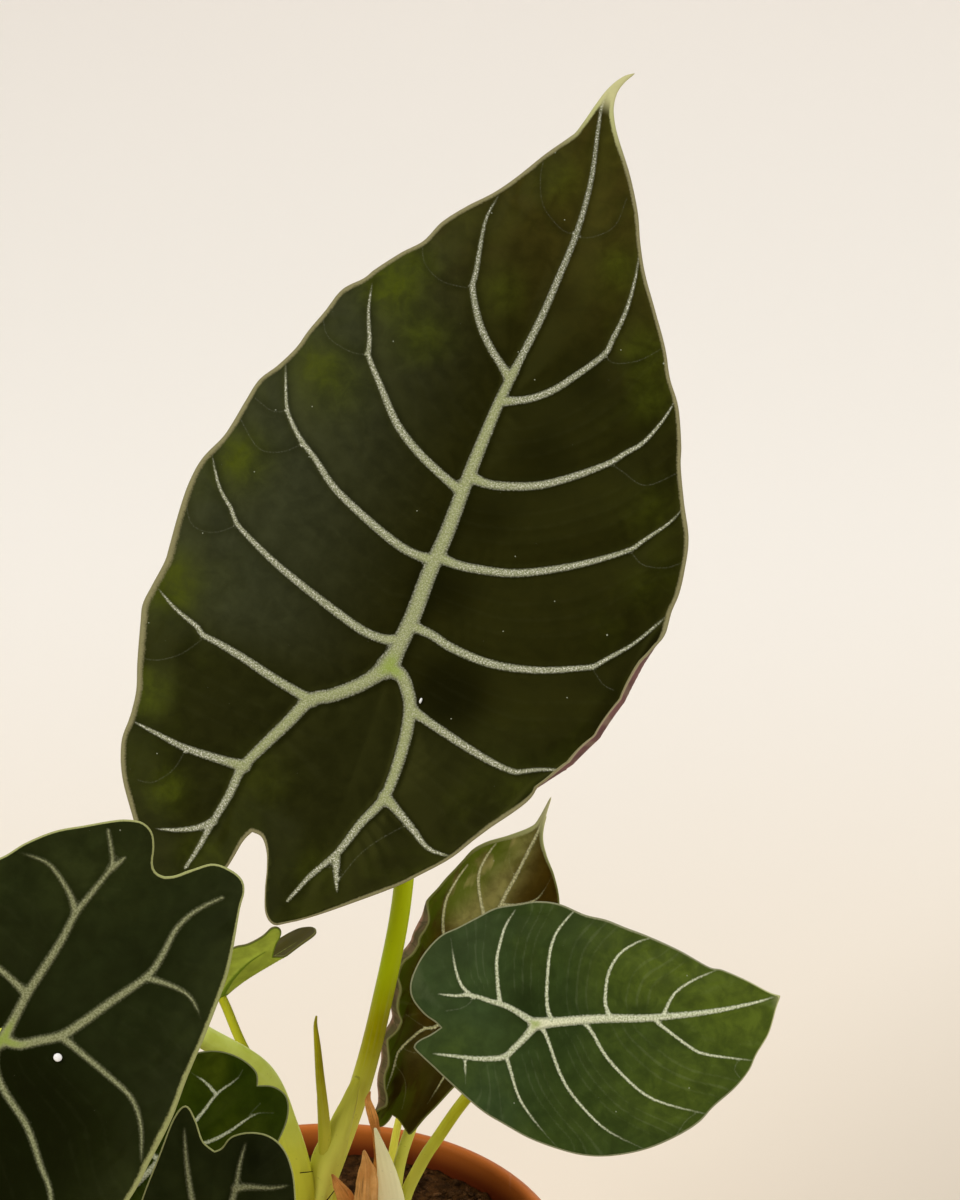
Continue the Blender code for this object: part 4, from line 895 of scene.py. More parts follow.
def blade_mesh(name, leaf, settings):
    """The leaf's blade as a closed mesh with its upper side, rim and underside."""
    rim = margin(leaf)
    leaf["width"] = float(np.abs(rim[:, 0]).max())
    veins = [(wide, narrow, spaced(smooth(line, 1.0), 2.0)) for wide, narrow, line in leaf["veins"]]
    loops = [spaced(smooth(line, 1.0), 1.5) for line in leaf.get("loops", [])]
    lines = veins + [(LOOP_HALF, LOOP_HALF, line) for line in loops]
    flat, triangles = flat_mesh(rim, lines, leaf["grain"])
    count = len(flat)
    vein, rank, ridge, under, near, arcs = relief(leaf, flat, veins, loops, settings.vein_height / MM)
    edge, _ = to_line(flat, np.concatenate([rim, rim[:1]]))
    tops, bottoms = blade_sides(leaf, flat, edge, near, arcs, settings.blade_thickness / MM)
    tops += ridge
    bottoms -= under
    across = np.roll(rim, -1, axis=0) - np.roll(rim, 1, axis=0)
    across /= np.linalg.norm(across, axis=1, keepdims=True)
    bulge = rim + np.stack([across[:, 1], -across[:, 0]], axis=1) * MARGIN_BULGE
    halfway = (tops[:len(rim)] + bottoms[:len(rim)]) / 2
    whole = np.concatenate([flat, flat, bulge])
    places = bent(leaf, whole[:, 0], whole[:, 1], np.concatenate([tops, bottoms, halfway]))
    axes, joint = placing(leaf)
    mesh = smooth_mesh(name, (places * MM @ axes + joint).tolist(), shell_faces(triangles, count, len(rim)))
    values = {
        "vein": vein, "rank": rank, "edge": edge, "arcs": arcs,
        "tone": tones(leaf, flat, veins[0][2]), "brim": rim_share(leaf, flat, edge),
    }
    for label, found in values.items():
        outside = np.full(len(rim), -0.3) if label == "edge" else found[:len(rim)]
        kept = np.concatenate([found, found, outside]).astype(np.float32)
        mesh.attributes.new(label, "FLOAT", "POINT").data.foreach_set("value", kept)
    point_of = np.empty(len(mesh.loops), np.int32)
    mesh.loops.foreach_get("vertex_index", point_of)
    set_uv(mesh, "Flat", whole[point_of] / 10.0)
    set_uv(mesh, "OFBake", bake_sheet(whole, point_of, count, len(rim)))
    slots = np.zeros(len(mesh.polygons), np.int32)
    slots[len(triangles):2 * len(triangles)] = 1
    mesh.polygons.foreach_set("material_index", slots)
    return mesh


def piece(name, mesh, materials, replaces=None):
    """Puts a finished mesh in the scene, riding on the plant's one body."""
    obj = bpy.data.objects.new(name, mesh)
    bpy.context.scene.collection.objects.link(obj)
    for made in materials:
        mesh.materials.append(made)
    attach(obj, "root")
    if replaces:
        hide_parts(*([replaces] if isinstance(replaces, str) else replaces))
    return obj


def ring_faces(rings, sides):
    """Quads between neighbouring rings of points."""
    faces = []
    for low in range(0, (rings - 1) * sides, sides):
        high = low + sides
        for i in range(sides):
            j = (i + 1) % sides
            faces.append((low + i, low + j, high + j, high + i))
    return faces


def ring_uvs(levels, sides):
    """The corners of those quads, as a share of the way round and a level in millimetres."""
    uvs = []
    for low, high in zip(levels, levels[1:]):
        for i in range(sides):
            u, v = i / sides, (i + 1) / sides
            uvs += [(u, low), (v, low), (v, high), (u, high)]
    return uvs


def set_round_uvs(mesh, uvs, low, high):
    """Gives a mesh its map round and along, in centimetres, and its sheet for baking."""
    uvs = np.array(uvs)
    share = (uvs[:, 1] - low) / (high - low)
    set_uv(mesh, "Round", np.stack([uvs[:, 0], uvs[:, 1] / 10.0], axis=1))
    set_uv(mesh, "OFBake", np.stack([uvs[:, 0], share], axis=1) * 0.98 + 0.01)


def tube_mesh(name, points, sides=20, step=1.2, shape=None):
    """A tube through points that carry a radius; shape changes the radius round and along."""
    line = spaced(smooth(points, 1.0), step)
    centre = line[:, :3]
    radius = line[:, 3]
    way = np.gradient(centre, axis=0)
    way /= np.linalg.norm(way, axis=1, keepdims=True)
    side = np.cross(way[0], (0.0, 1.0, 0.0))
    side /= np.linalg.norm(side)
    length = np.concatenate([[0.0], np.cumsum(np.linalg.norm(np.diff(centre, axis=0), axis=1))])
    angle = np.arange(sides) * 2 * math.pi / sides
    places = []
    for i in range(len(centre)):
        side = side - way[i] * (side @ way[i])
        side /= np.linalg.norm(side)
        other = np.cross(way[i], side)
        size = radius[i] * (shape(angle, length[i], length[-1]) if shape else 1.0)
        ring = centre[i] + np.outer(size * np.cos(angle), side) + np.outer(size * np.sin(angle), other)
        places.append(ring)
    faces = ring_faces(len(places), sides)
    uvs = ring_uvs(length, sides)
    last = (len(places) - 1) * sides
    first_middle = last + sides
    for i in range(sides):
        j = (i + 1) % sides
        u, v = i / sides, (i + 1) / sides
        faces += [(j, i, first_middle), (last + i, last + j, first_middle + 1)]
        uvs += [(v, 0.0), (u, 0.0), (u, -0.5)]
        uvs += [(u, length[-1]), (v, length[-1]), (u, length[-1] + 0.5)]
    places = np.concatenate(places + [centre[:1], centre[-1:]]) * MM
    mesh = smooth_mesh(name, places.tolist(), faces)
    set_round_uvs(mesh, uvs, -0.5, length[-1] + 0.5)
    return mesh


def petiole_shape(angle, along, whole):
    """Fine ribs along the stalk, and a flattened, channelled foot."""
    ribs = 1 + 0.012 * np.cos(9 * angle) + 0.008 * np.cos(17 * angle + 0.6)
    foot = max(0.0, 1 - along / (0.42 * whole))
    return ribs * (1 + 0.16 * foot * np.cos(2 * angle) - 0.10 * foot * np.cos(angle) ** 8)


def petiole_points(leaf):
    """The stalk's line with its radius, from deep in the soil to just behind the blade."""
    start, end = leaf["stem_radius"]
    face = Vector(leaf["face"]).normalized()
    joint = Vector(leaf["joint"])
    wide = leaf["veins"][0][0]
    x, y, z = leaf["stem"][0]
    line = [(x, y, z - STEM_DEPTH)] + leaf["stem"]
    for behind in (3.0 + 2.0 * wide, 0.55 + 0.35 * wide):
        line.append(tuple(joint - face * behind))
    last = len(line) - 1
    return [(x, y, z, start + (end - start) * (i / last) ** 0.7) for i, (x, y, z) in enumerate(line)]


def nodes_of(made):
    """A material's node tree."""
    made.use_nodes = True
    return made.node_tree


def node(tree, kind, values=None, **settings):
    """A shader node with its settings and its input values or links."""
    made = tree.nodes.new(kind)
    for key, value in settings.items():
        setattr(made, key, value)
    for key, value in (values or {}).items():
        socket = made.inputs[key]
        if isinstance(value, bpy.types.NodeSocket):
            tree.links.new(value, socket)
        else:
            socket.default_value = value
    return made


def maths(tree, operation, a, b=0.0, clamp=False):
    """What a Math node makes of two values."""
    return node(tree, "ShaderNodeMath", {0: a, 1: b}, operation=operation, use_clamp=clamp).outputs[0]


def product(tree, a, b):
    """Two values multiplied."""
    return maths(tree, "MULTIPLY", a, b)


def ramp(tree, value, low, high, bottom=0.0, top=1.0):
    """A smooth step of the value from bottom at low to top at high."""
    made = node(tree, "ShaderNodeMapRange", {
        "Value": value, "From Min": low, "From Max": high, "To Min": bottom, "To Max": top,
    }, interpolation_type="SMOOTHSTEP")
    return made.outputs["Result"]


def mix(tree, factor, a, b, blend="MIX"):
    """The first colour with the second over it, by the factor."""
    made = node(tree, "ShaderNodeMix", data_type="RGBA", blend_type=blend)
    for index, value in ((0, factor), (6, a), (7, b)):
        if isinstance(value, bpy.types.NodeSocket):
            tree.links.new(value, made.inputs[index])
        else:
            made.inputs[index].default_value = value if index == 0 else tuple(value)[:3] + (1.0,)
    return made.outputs[2]


def times(tree, colour, amount):
    """The colour made darker or lighter by an amount."""
    grey = node(tree, "ShaderNodeCombineColor", {0: amount, 1: amount, 2: amount}).outputs[0]
    return mix(tree, 1.0, colour, grey, "MULTIPLY")


def speckle(tree, vector, scale, detail=2.0, roughness=0.5, distortion=0.0):
    """Smooth noise between 0 and 1."""
    made = node(tree, "ShaderNodeTexNoise", {
        "Vector": vector, "Scale": scale, "Detail": detail, "Roughness": roughness,
        "Distortion": distortion,
    })
    return made.outputs["Fac"]


def group(name, inputs, outputs):
    """A new node group, the sockets that bring its values in, and those that it puts out."""
    tree = bpy.data.node_groups.new(name, "ShaderNodeTree")
    for label, kind, default in inputs:
        socket = tree.interface.new_socket(label, in_out="INPUT", socket_type=kind)
        if default is not None:
            socket.default_value = default
    for label, kind in outputs:
        tree.interface.new_socket(label, in_out="OUTPUT", socket_type=kind)
    return tree, tree.nodes.new("NodeGroupInput").outputs, tree.nodes.new("NodeGroupOutput").inputs


def attribute(tree, name):
    """A value that the mesh carries at each of its points."""
    made = node(tree, "ShaderNodeAttribute", attribute_name=name, attribute_type="GEOMETRY")
    return made.outputs["Fac"]


def upper_skin_group():
    """Colour, roughness and height of a leaf's upper side."""
    if "Leaf upper skin" in bpy.data.node_groups:
        return bpy.data.node_groups["Leaf upper skin"]
    colour = "NodeSocketColor"
    number = "NodeSocketFloat"
    tree, given, out = group("Leaf upper skin", [
        ("Blade", colour, None), ("Side", colour, None), ("Top", colour, None), ("Lobe", colour, None),
        ("Patch", colour, None), ("Sheen Streak", colour, None), ("Lateral", colour, None),
        ("Midrib", colour, None), ("Margin", colour, None), ("Patch Amount", number, 0.5),
        ("Sparkle", number, 1.0), ("Tip", number, 100.0), ("Halo", number, 0.5), ("Lines", number, 0.5),
        ("Softness", number, 0.2), ("Heart", number, 0.3), ("Streaks", number, 0.2),
        ("Fade", number, 1.0),
    ], [("Color", colour), ("Roughness", number), ("Height", number)])
    flat = node(tree, "ShaderNodeUVMap", uv_map="Flat").outputs["UV"]
    vein = attribute(tree, "vein")
    rank = attribute(tree, "rank")
    edge = attribute(tree, "edge")
    arcs = attribute(tree, "arcs")
    axes = node(tree, "ShaderNodeSeparateXYZ", {0: flat}).outputs
    along = axes["Y"]
    reached = maths(tree, "DIVIDE", along, given["Tip"])
    tone = attribute(tree, "tone")
    share = attribute(tree, "brim")
    grains = speckle(tree, flat, 21.0, 2.0, 0.65)
    fine = speckle(tree, flat, 26.0, 1.0, 0.7)
    soft = given["Softness"]
    # The mask of the veins, with a grainy edge.
    inside = maths(tree, "ADD", vein, product(tree, maths(tree, "SUBTRACT", grains, 0.5), 0.45))
    mask = ramp(tree, inside, product(tree, soft, -0.9), product(tree, soft, 1.1))
    mask = product(tree, mask, ramp(tree, rank, 0.17, 0.30, 0.07, 1.0))
    # The blade between them, with its mossy patches; on the young leaf these are painted light.
    broad = speckle(tree, flat, 0.55, 3.0, 0.55, 0.6)
    cloud = speckle(tree, flat, 2.2, 4.0, 0.6, 0.4)
    rimward = ramp(tree, edge, 26.0, 2.0)
    patchy = ramp(tree, broad, 0.42, 0.68)
    patch = product(tree, product(tree, patchy, rimward), given["Patch Amount"])
    moss_and_painted_light = product(tree, tone, ramp(tree, cloud, 0.25, 0.72, 0.70, 1.25))
    patch = maths(tree, "MAXIMUM", patch, moss_and_painted_light, True)
    # Left of the midrib the blade takes the Side colour, a painted sheen on the dark leaf; below the joint
    # it takes the Lobe colour, a painted sheen on the green leaf.
    blade = mix(tree, ramp(tree, axes["X"], 0.2, -4.5), given["Blade"], given["Side"])
    blade = mix(tree, ramp(tree, reached, 0.50, 0.88), blade, given["Top"])
    blade = mix(tree, ramp(tree, along, 0.2, -1.4), blade, given["Lobe"])
    blade = mix(tree, patch, blade, given["Patch"])
    # Below zero the tone darkens the blade: painted shade.
    blade = times(tree, blade, ramp(tree, tone, 0.0, -0.9, 1.0, 0.42))
    blade = times(tree, blade, ramp(tree, cloud, 0.25, 0.80, 0.78, 1.22))
    # Slanting streaks of painted sheen on its left half, painted light on the bronze leaf, fine pale lines
    # along the arcs and a dark halo by the veins.
    broken = maths(tree, "ADD", arcs, product(tree, maths(tree, "SUBTRACT", cloud, 0.5), 1.6))
    turned = node(tree, "ShaderNodeMapping", {
        "Vector": flat, "Rotation": (0.0, 0.0, 0.45), "Scale": (2.0, 0.6, 1.0),
    }).outputs["Vector"]
    sheen_streaks = ramp(tree, speckle(tree, turned, 1.0, 3.0, 0.6, 0.5), 0.34, 0.50)
    sheen_streaks = product(tree, sheen_streaks, ramp(tree, edge, 12.0, 5.0))
    sheen_streaks = product(tree, sheen_streaks, ramp(tree, axes["X"], 0.2, -0.9))
    sheen_streaks = product(tree, sheen_streaks, given["Streaks"])
    blade = mix(tree, sheen_streaks, blade, given["Sheen Streak"])
    lined = product(tree, ramp(tree, broken, 0.35, 1.1), given["Lines"])
    pale_line = mix(tree, 0.35, given["Patch"], given["Lateral"])
    blade = mix(tree, lined, blade, pale_line)
    halo = product(tree, ramp(tree, vein, -2.4, 0.1), given["Halo"])
    blade = mix(tree, halo, blade, mix(tree, 1.0, given["Blade"], (0.50, 0.65, 0.50), "MULTIPLY"))
    # The silvery veins, with glints, dull grains and a green heart over the joint.
    depth = maths(tree, "DIVIDE", vein, maths(tree, "MAXIMUM", rank, 0.05))
    broad_rib = product(tree, ramp(tree, rank, 0.85, 1.3), ramp(tree, depth, 0.0, 0.5))
    stripe = mix(tree, broad_rib, given["Lateral"], given["Midrib"])
    stripe = times(tree, stripe, ramp(tree, depth, 0.0, 0.7, 0.60, 1.08))
    stripe = times(tree, stripe, ramp(tree, reached, 0.35, 0.85, 1.0, given["Fade"]))
    glint = product(tree, ramp(tree, fine, 0.53, 0.62), given["Sparkle"])
    glint = product(tree, glint, ramp(tree, depth, 0.1, 0.6, 0.35, 1.0))
    glint = product(tree, glint, ramp(tree, broad_rib, 0.0, 1.0, 1.0, 0.4))
    grainy = ramp(tree, broad_rib, 0.0, 1.0, 1.0, 0.5)
    grainy = product(tree, ramp(tree, grains, 0.62, 0.38), grainy)
    dull = mix(tree, 1.0, stripe, (0.50, 0.52, 0.42), "MULTIPLY")
    stripe = mix(tree, grainy, stripe, dull)
    stripe = mix(tree, glint, stripe, mix(tree, 0.72, stripe, (1.0, 0.99, 0.90)))
    reach = node(tree, "ShaderNodeVectorMath", {0: flat}, operation="LENGTH").outputs["Value"]
    heart = maths(tree, "DIVIDE", reach, given["Heart"])
    heart = product(tree, ramp(tree, heart, 1.0, 0.1, 0.0, 0.7), ramp(tree, depth, 0.2, 0.8))
    stripe = mix(tree, heart, stripe, (0.24, 0.33, 0.04))
    colour_out = mix(tree, mask, blade, stripe)
    # The pale rim and tip, and specks of dust.
    frayed = maths(tree, "ADD", maths(tree, "SUBTRACT", cloud, 0.5), maths(tree, "SUBTRACT", grains, 0.5))
    share = maths(tree, "ADD", share, product(tree, frayed, 0.7))
    brim = ramp(tree, share, 1.25, 0.65)
    pale = mix(tree, product(tree, grains, 0.45), given["Margin"], (0.10, 0.09, 0.04))
    pale = mix(tree, ramp(tree, share, 0.35, 0.85, 0.0, 0.45), pale, (0.10, 0.09, 0.04))
    tipward = ramp(tree, maths(tree, "SUBTRACT", along, given["Tip"]), -1.5, 0.0)
    pale = mix(tree, product(tree, tipward, 0.75), pale, (0.48, 0.50, 0.22))
    colour_out = mix(tree, brim, colour_out, pale)
    tipped = ramp(tree, maths(tree, "SUBTRACT", along, given["Tip"]), -0.15, 0.45)
    colour_out = mix(tree, tipped, colour_out, (0.50, 0.49, 0.25))
    dust = ramp(tree, speckle(tree, flat, 11.0, 0.0), 0.893, 0.900)
    colour_out = mix(tree, product(tree, dust, 0.6), colour_out, (0.42, 0.45, 0.34))
    rough = ramp(tree, cloud, 0.2, 0.8, 0.40, 0.52)
    sheen = product(tree, mask, product(tree, fine, 0.12))
    rough = maths(tree, "SUBTRACT", rough, sheen)
    rough = maths(tree, "ADD", rough, ramp(tree, tone, 0.0, -0.6, 0.0, 0.4))
    height = product(tree, arcs, ramp(tree, broad, 0.4, 0.6, 0.1, 1.0))
    height = product(tree, height, 0.16)
    height = maths(tree, "ADD", height, product(tree, cloud, 0.12))
    height = maths(tree, "ADD", height, product(tree, product(tree, fine, mask), 0.55))
    height = maths(tree, "ADD", height, product(tree, grains, 0.10))
    for label, value in (("Color", colour_out), ("Roughness", rough), ("Height", height)):
        tree.links.new(value, out[label])
    return tree


def under_skin_group():
    """Colour, roughness and height of a leaf's underside."""
    if "Leaf underside skin" in bpy.data.node_groups:
        return bpy.data.node_groups["Leaf underside skin"]
    colour = "NodeSocketColor"
    number = "NodeSocketFloat"
    tree, given, out = group("Leaf underside skin", [
        ("Under", colour, None), ("Under Vein", colour, None), ("Mottle", number, 0.0),
    ], [("Color", colour), ("Roughness", number), ("Height", number)])
    flat = node(tree, "ShaderNodeUVMap", uv_map="Flat").outputs["UV"]
    vein = attribute(tree, "vein")
    edge = attribute(tree, "edge")
    arcs = attribute(tree, "arcs")
    cloud = speckle(tree, flat, 1.8, 4.0, 0.6, 0.4)
    grains = speckle(tree, flat, 36.0, 2.0)
    base = times(tree, given["Under"], ramp(tree, cloud, 0.25, 0.80, 0.72, 1.25))
    web = node(tree, "ShaderNodeTexVoronoi", {"Vector": flat, "Scale": 3.4}, feature="DISTANCE_TO_EDGE")
    dark = ramp(tree, web.outputs["Distance"], 0.10, 0.0)
    dark = maths(tree, "MAXIMUM", dark, ramp(tree, cloud, 0.45, 0.60))
    base = mix(tree, product(tree, dark, given["Mottle"]), base, (0.055, 0.032, 0.010))
    base = mix(tree, ramp(tree, arcs, 0.2, 1.0, 0.0, 0.30), base, given["Under Vein"])
    mask = ramp(tree, maths(tree, "ADD", vein, product(tree, grains, 0.25)), -0.15, 0.45)
    base = mix(tree, mask, base, given["Under Vein"])
    band = product(tree, ramp(tree, edge, 2.3, 1.3), given["Mottle"])
    base = mix(tree, band, base, (0.036, 0.050, 0.006))
    base = mix(tree, ramp(tree, edge, 0.45, 0.15), base, given["Under Vein"])
    rough = ramp(tree, cloud, 0.2, 0.8, 0.50, 0.62)
    height = maths(tree, "ADD", product(tree, arcs, 0.25), product(tree, grains, 0.12))
    for label, value in (("Color", base), ("Roughness", rough), ("Height", height)):
        tree.links.new(value, out[label])
    return tree


def shaded(name, colour, roughness, height=None, relief_mm=0.1, strength=1.0, **plain):
    """Gives a material's Principled shader its colour, roughness and bumps, and returns the material."""
    tree = nodes_of(bpy.data.materials[name])
    shader = tree.nodes["Principled BSDF"]
    for label, value in (("Base Color", colour), ("Roughness", roughness)):
        if isinstance(value, bpy.types.NodeSocket):
            tree.links.new(value, shader.inputs[label])
        else:
            shader.inputs[label].default_value = value
    for label, value in plain.items():
        shader.inputs[label.replace("_", " ")].default_value = value
    if height is not None:
        bump = node(tree, "ShaderNodeBump", {
            "Strength": strength, "Distance": relief_mm * MM, "Height": height,
        })
        tree.links.new(bump.outputs["Normal"], shader.inputs["Normal"])
    return bpy.data.materials[name]


def dress(made, skin):
    """Gives a group node the skin's colours and amounts."""
    for socket in made.inputs:
        if socket.name in skin:
            value = skin[socket.name]
            socket.default_value = value + (1.0,) if isinstance(value, tuple) else value


def leaf_materials(key, tip, settings):
    """The upper and underside materials in one of the leaf colours."""
    skin = dict(SKINS[key])
    if key == "dark":
        skin["Blade"] = tuple(settings.dark_leaf_colour)
    for place in ("Side", "Top", "Lobe"):
        skin.setdefault(place, skin["Blade"])
    name = f"{key} leaf {tip:.0f}"
    if name in bpy.data.materials:
        return [bpy.data.materials[name], bpy.data.materials[name + " underside"]]
    made = bpy.data.materials.new(name)
    tree = nodes_of(made)
    upper = node(tree, "ShaderNodeGroup", node_tree=upper_skin_group())
    dress(upper, skin)
    upper.inputs["Tip"].default_value = tip / 10.0
    colour, rough, height = (upper.outputs[label] for label in ("Color", "Roughness", "Height"))
    shaded(name, colour, rough, height, 0.25, 0.6,
           Specular_IOR_Level=0.1, Specular_Tint=(0.85, 0.88, 0.18, 1.0))
    below = bpy.data.materials.new(name + " underside")
    tree = nodes_of(below)
    lower = node(tree, "ShaderNodeGroup", node_tree=under_skin_group())
    dress(lower, skin)
    colour, rough, height = (lower.outputs[label] for label in ("Color", "Roughness", "Height"))
    shaded(below.name, colour, rough, height, 0.2, 0.6, Specular_IOR_Level=0.15)
    return [made, below]


def stalk_material(name, pale, deep, foot, top=None, streak=0.1):
    """A smooth stalk with fine lines along it, with its own colours at the foot and near the leaf."""
    if name in bpy.data.materials:
        return bpy.data.materials[name]
    tree = nodes_of(bpy.data.materials.new(name))
    uv = node(tree, "ShaderNodeUVMap", uv_map="Round").outputs["UV"]
    drawn_out = node(tree, "ShaderNodeMapping", {"Vector": uv, "Scale": (26.0, 0.35, 1.0)})
    lines = speckle(tree, drawn_out.outputs["Vector"], 1.0, 3.0, 0.6)
    place = node(tree, "ShaderNodeTexCoord").outputs["Object"]
    clouds = speckle(tree, place, 140.0, 3.0)
    height = node(tree, "ShaderNodeSeparateXYZ", {0: place}).outputs["Z"]
    tone = mix(tree, ramp(tree, clouds, 0.25, 0.70), deep, pale)
    light = tuple(0.55 * c + 0.25 for c in pale)
    tone = mix(tree, ramp(tree, lines, 0.45, 0.75, 0.0, streak), tone, light)
    if top:
        tone = mix(tree, ramp(tree, height, 0.185, 0.203, 0.0, 0.9), tone, top)
    tone = mix(tree, ramp(tree, height, 0.184, 0.150), tone, foot)
    freckles = ramp(tree, speckle(tree, place, 900.0, 1.0), 0.70, 0.78)
    tone = mix(tree, product(tree, freckles, 0.20), tone, (0.12, 0.13, 0.02))
    return shaded(name, tone, ramp(tree, clouds, 0.2, 0.8, 0.34, 0.46), lines, 0.12, 0.6,
                  Specular_IOR_Level=0.15, Specular_Tint=(1.0, 1.0, 0.12, 1.0))


def dry_material(name, pale, deep):
    """Papery brown tissue with fibres along it and darker blotches."""
    if name in bpy.data.materials:
        return bpy.data.materials[name]
    tree = nodes_of(bpy.data.materials.new(name))
    uv = node(tree, "ShaderNodeUVMap", uv_map="Round").outputs["UV"]
    drawn_out = node(tree, "ShaderNodeMapping", {"Vector": uv, "Scale": (34.0, 0.8, 1.0)})
    fibres = speckle(tree, drawn_out.outputs["Vector"], 1.0, 4.0, 0.65, 0.2)
    place = node(tree, "ShaderNodeTexCoord").outputs["Object"]
    blotch = speckle(tree, place, 170.0, 4.0, 0.6)
    tone = mix(tree, ramp(tree, blotch, 0.35, 0.68), deep, pale)
    tone = mix(tree, ramp(tree, fibres, 0.50, 0.72, 0.0, 0.75), tone, tuple(0.35 * c for c in deep))
    tone = mix(tree, ramp(tree, fibres, 0.46, 0.28, 0.0, 0.55), tone, (0.95, 0.66, 0.34))
    return shaded(name, tone, ramp(tree, blotch, 0.2, 0.8, 0.62, 0.80), fibres, 0.3, 0.9,
                  Specular_IOR_Level=0.25)


def pot_material(settings):
    """Terracotta-coloured plastic: fine moulding grain, faint scuffs, and painted shade inside the wall."""
    if "Pot plastic" in bpy.data.materials:
        return bpy.data.materials["Pot plastic"]
    tree = nodes_of(bpy.data.materials.new("Pot plastic"))
    place = node(tree, "ShaderNodeTexCoord").outputs["Object"]
    cloud = speckle(tree, place, 22.0, 4.0, 0.6)
    grain = speckle(tree, place, 1400.0, 2.0, 0.6)
    base = mix(tree, ramp(tree, cloud, 0.3, 0.75), (0.46, 0.125, 0.020), settings.pot_colour)
    rub = node(tree, "ShaderNodeMapping", {
        "Vector": place, "Rotation": (0.4, 0.3, 0.9), "Scale": (420.0, 18.0, 60.0),
    }).outputs["Vector"]
    scuffs = ramp(tree, speckle(tree, rub, 1.0, 2.0, 0.5, 0.3), 0.70, 0.80)
    base = mix(tree, product(tree, scuffs, 0.22), base, (0.62, 0.33, 0.22))
    axes = node(tree, "ShaderNodeSeparateXYZ", {0: place}).outputs
    level = node(tree, "ShaderNodeCombineXYZ", {0: axes["X"], 1: axes["Y"]}).outputs[0]
    across = node(tree, "ShaderNodeVectorMath", {0: level}, operation="LENGTH").outputs["Value"]
    # The inside of the wall, darker from just under the brim to the soil: painted shade.
    slope = (BRIM_RADIUS - FOOT_RADIUS) / POT_HEIGHT
    wall = maths(tree, "ADD", FOOT_RADIUS * MM, product(tree, axes["Z"], slope))
    inner_wall_shade = ramp(tree, maths(tree, "SUBTRACT", across, wall), 1.4 * MM, 0.8 * MM)
    inner_wall_shade = product(tree, inner_wall_shade, ramp(tree, axes["Z"], 119.5 * MM, 112.5 * MM))
    base = mix(tree, product(tree, inner_wall_shade, 0.94), base, (0.11, 0.016, 0.004))
    rough = ramp(tree, cloud, 0.2, 0.8, 0.36, 0.50)
    rough = maths(tree, "ADD", rough, product(tree, scuffs, 0.15))
    return shaded("Pot plastic", base, rough, grain, 0.04, 0.5,
                  Specular_IOR_Level=0.2, Specular_Tint=(1.0, 0.75, 0.45, 1.0))


def soil_material(name, dark, light):
    """Moist potting soil: dark crumbs with lighter fibres and grains."""
    if name in bpy.data.materials:
        return bpy.data.materials[name]
    tree = nodes_of(bpy.data.materials.new(name))
    place = node(tree, "ShaderNodeTexCoord").outputs["Object"]
    clumps = speckle(tree, place, 260.0, 5.0, 0.65)
    grit = speckle(tree, place, 1100.0, 3.0, 0.7)
    tone = mix(tree, ramp(tree, clumps, 0.38, 0.68), dark, light)
    tone = mix(tree, ramp(tree, grit, 0.60, 0.78, 0.0, 0.6), tone, (0.095, 0.050, 0.024))
    height = maths(tree, "ADD", clumps, product(tree, grit, 0.5))
    return shaded(name, tone, ramp(tree, clumps, 0.3, 0.8, 0.95, 0.75), height, 0.8, 1.0,
                  Specular_IOR_Level=0.10, Specular_Tint=(1.0, 0.8, 0.6, 1.0))


# The pot, in millimetres: its height, half its inner width at the foot and at the brim, its wall,
# and its drain holes with the circle that they lie on.
POT_HEIGHT = 120.0
FOOT_RADIUS = 43.0
BRIM_RADIUS = 60.5
POT_WALL = 2.0
POT_STEPS = 144
DRAIN_COUNT = 6
DRAIN_RADIUS = 4.0
DRAIN_CIRCLE = 29.0

# The soil, in millimetres: its middle height and half its width, and how finely its top is cut.
SOIL_TOP = 112.9
SOIL_RADIUS = 59.0
SOIL_RINGS = 95
SOIL_STEPS = 330
# Its lumps, from coarse to fine: how close together, their level in the noise, and their height.
SOIL_LUMPS = ((0.045, 0.3, 1.3), (0.22, 4.0, 1.1), (0.75, 9.0, 0.75), (2.1, 2.0, 0.28))


def wall_radius(height):
    """Half the width inside the pot's wall at a height, in millimetres."""
    return FOOT_RADIUS + (BRIM_RADIUS - FOOT_RADIUS) * height / POT_HEIGHT


def select_only(obj):
    """Makes this object the only one selected, and the active one."""
    bpy.ops.object.select_all(action="DESELECT")
    bpy.context.view_layer.objects.active = obj
    obj.select_set(True)


def apply_modifiers(obj):
    """Applies all of an object's modifiers."""
    select_only(obj)
    for modifier in list(obj.modifiers):
        bpy.ops.object.modifier_apply(modifier=modifier.name)
    obj.select_set(False)


def make_leaf(key, settings):
    """A leaf's blade, in place of its solid."""
    leaf = LEAVES[key]
    mesh = blade_mesh(f"blade_{key}", leaf, settings)
    looks = leaf_materials(LEAF_SKINS[key], leaf["tip"], settings)
    piece(f"blade_{key}", mesh, looks, f"leaf_{key}")


def stalk_look(key, settings):
    """The stalk material of one of the leaves."""
    if key == "main":
        return stalk_material(
            "Main stalk", (0.32, 0.305, 0.0012), (0.26, 0.245, 0.0008), (0.87, 0.89, 0.16),
            (0.43, 0.54, 0.004),
        )
    if key == "left":
        return stalk_material("Left stalk", (0.66, 0.78, 0.16), (0.55, 0.65, 0.080), (0.70, 0.71, 0.06))
    return stalk_material("Stalk", tuple(settings.stalk_colour), (0.41, 0.42, 0.010), (0.62, 0.64, 0.09))


def make_petiole(key, settings):
    """A leaf's stalk, in place of its solid."""
    mesh = tube_mesh(f"stalk_{key}", petiole_points(LEAVES[key]), 24, 1.2, petiole_shape)
    piece(f"stalk_{key}", mesh, [stalk_look(key, settings)], f"petiole_{key}")


def frame_slot(name):
    """The material slot that the frame gives a node, or None where it has no such node."""
    for entry in frame["record"]["subparts"]:
        if entry["node"] == name:
            return entry["material_slot"]
    return None


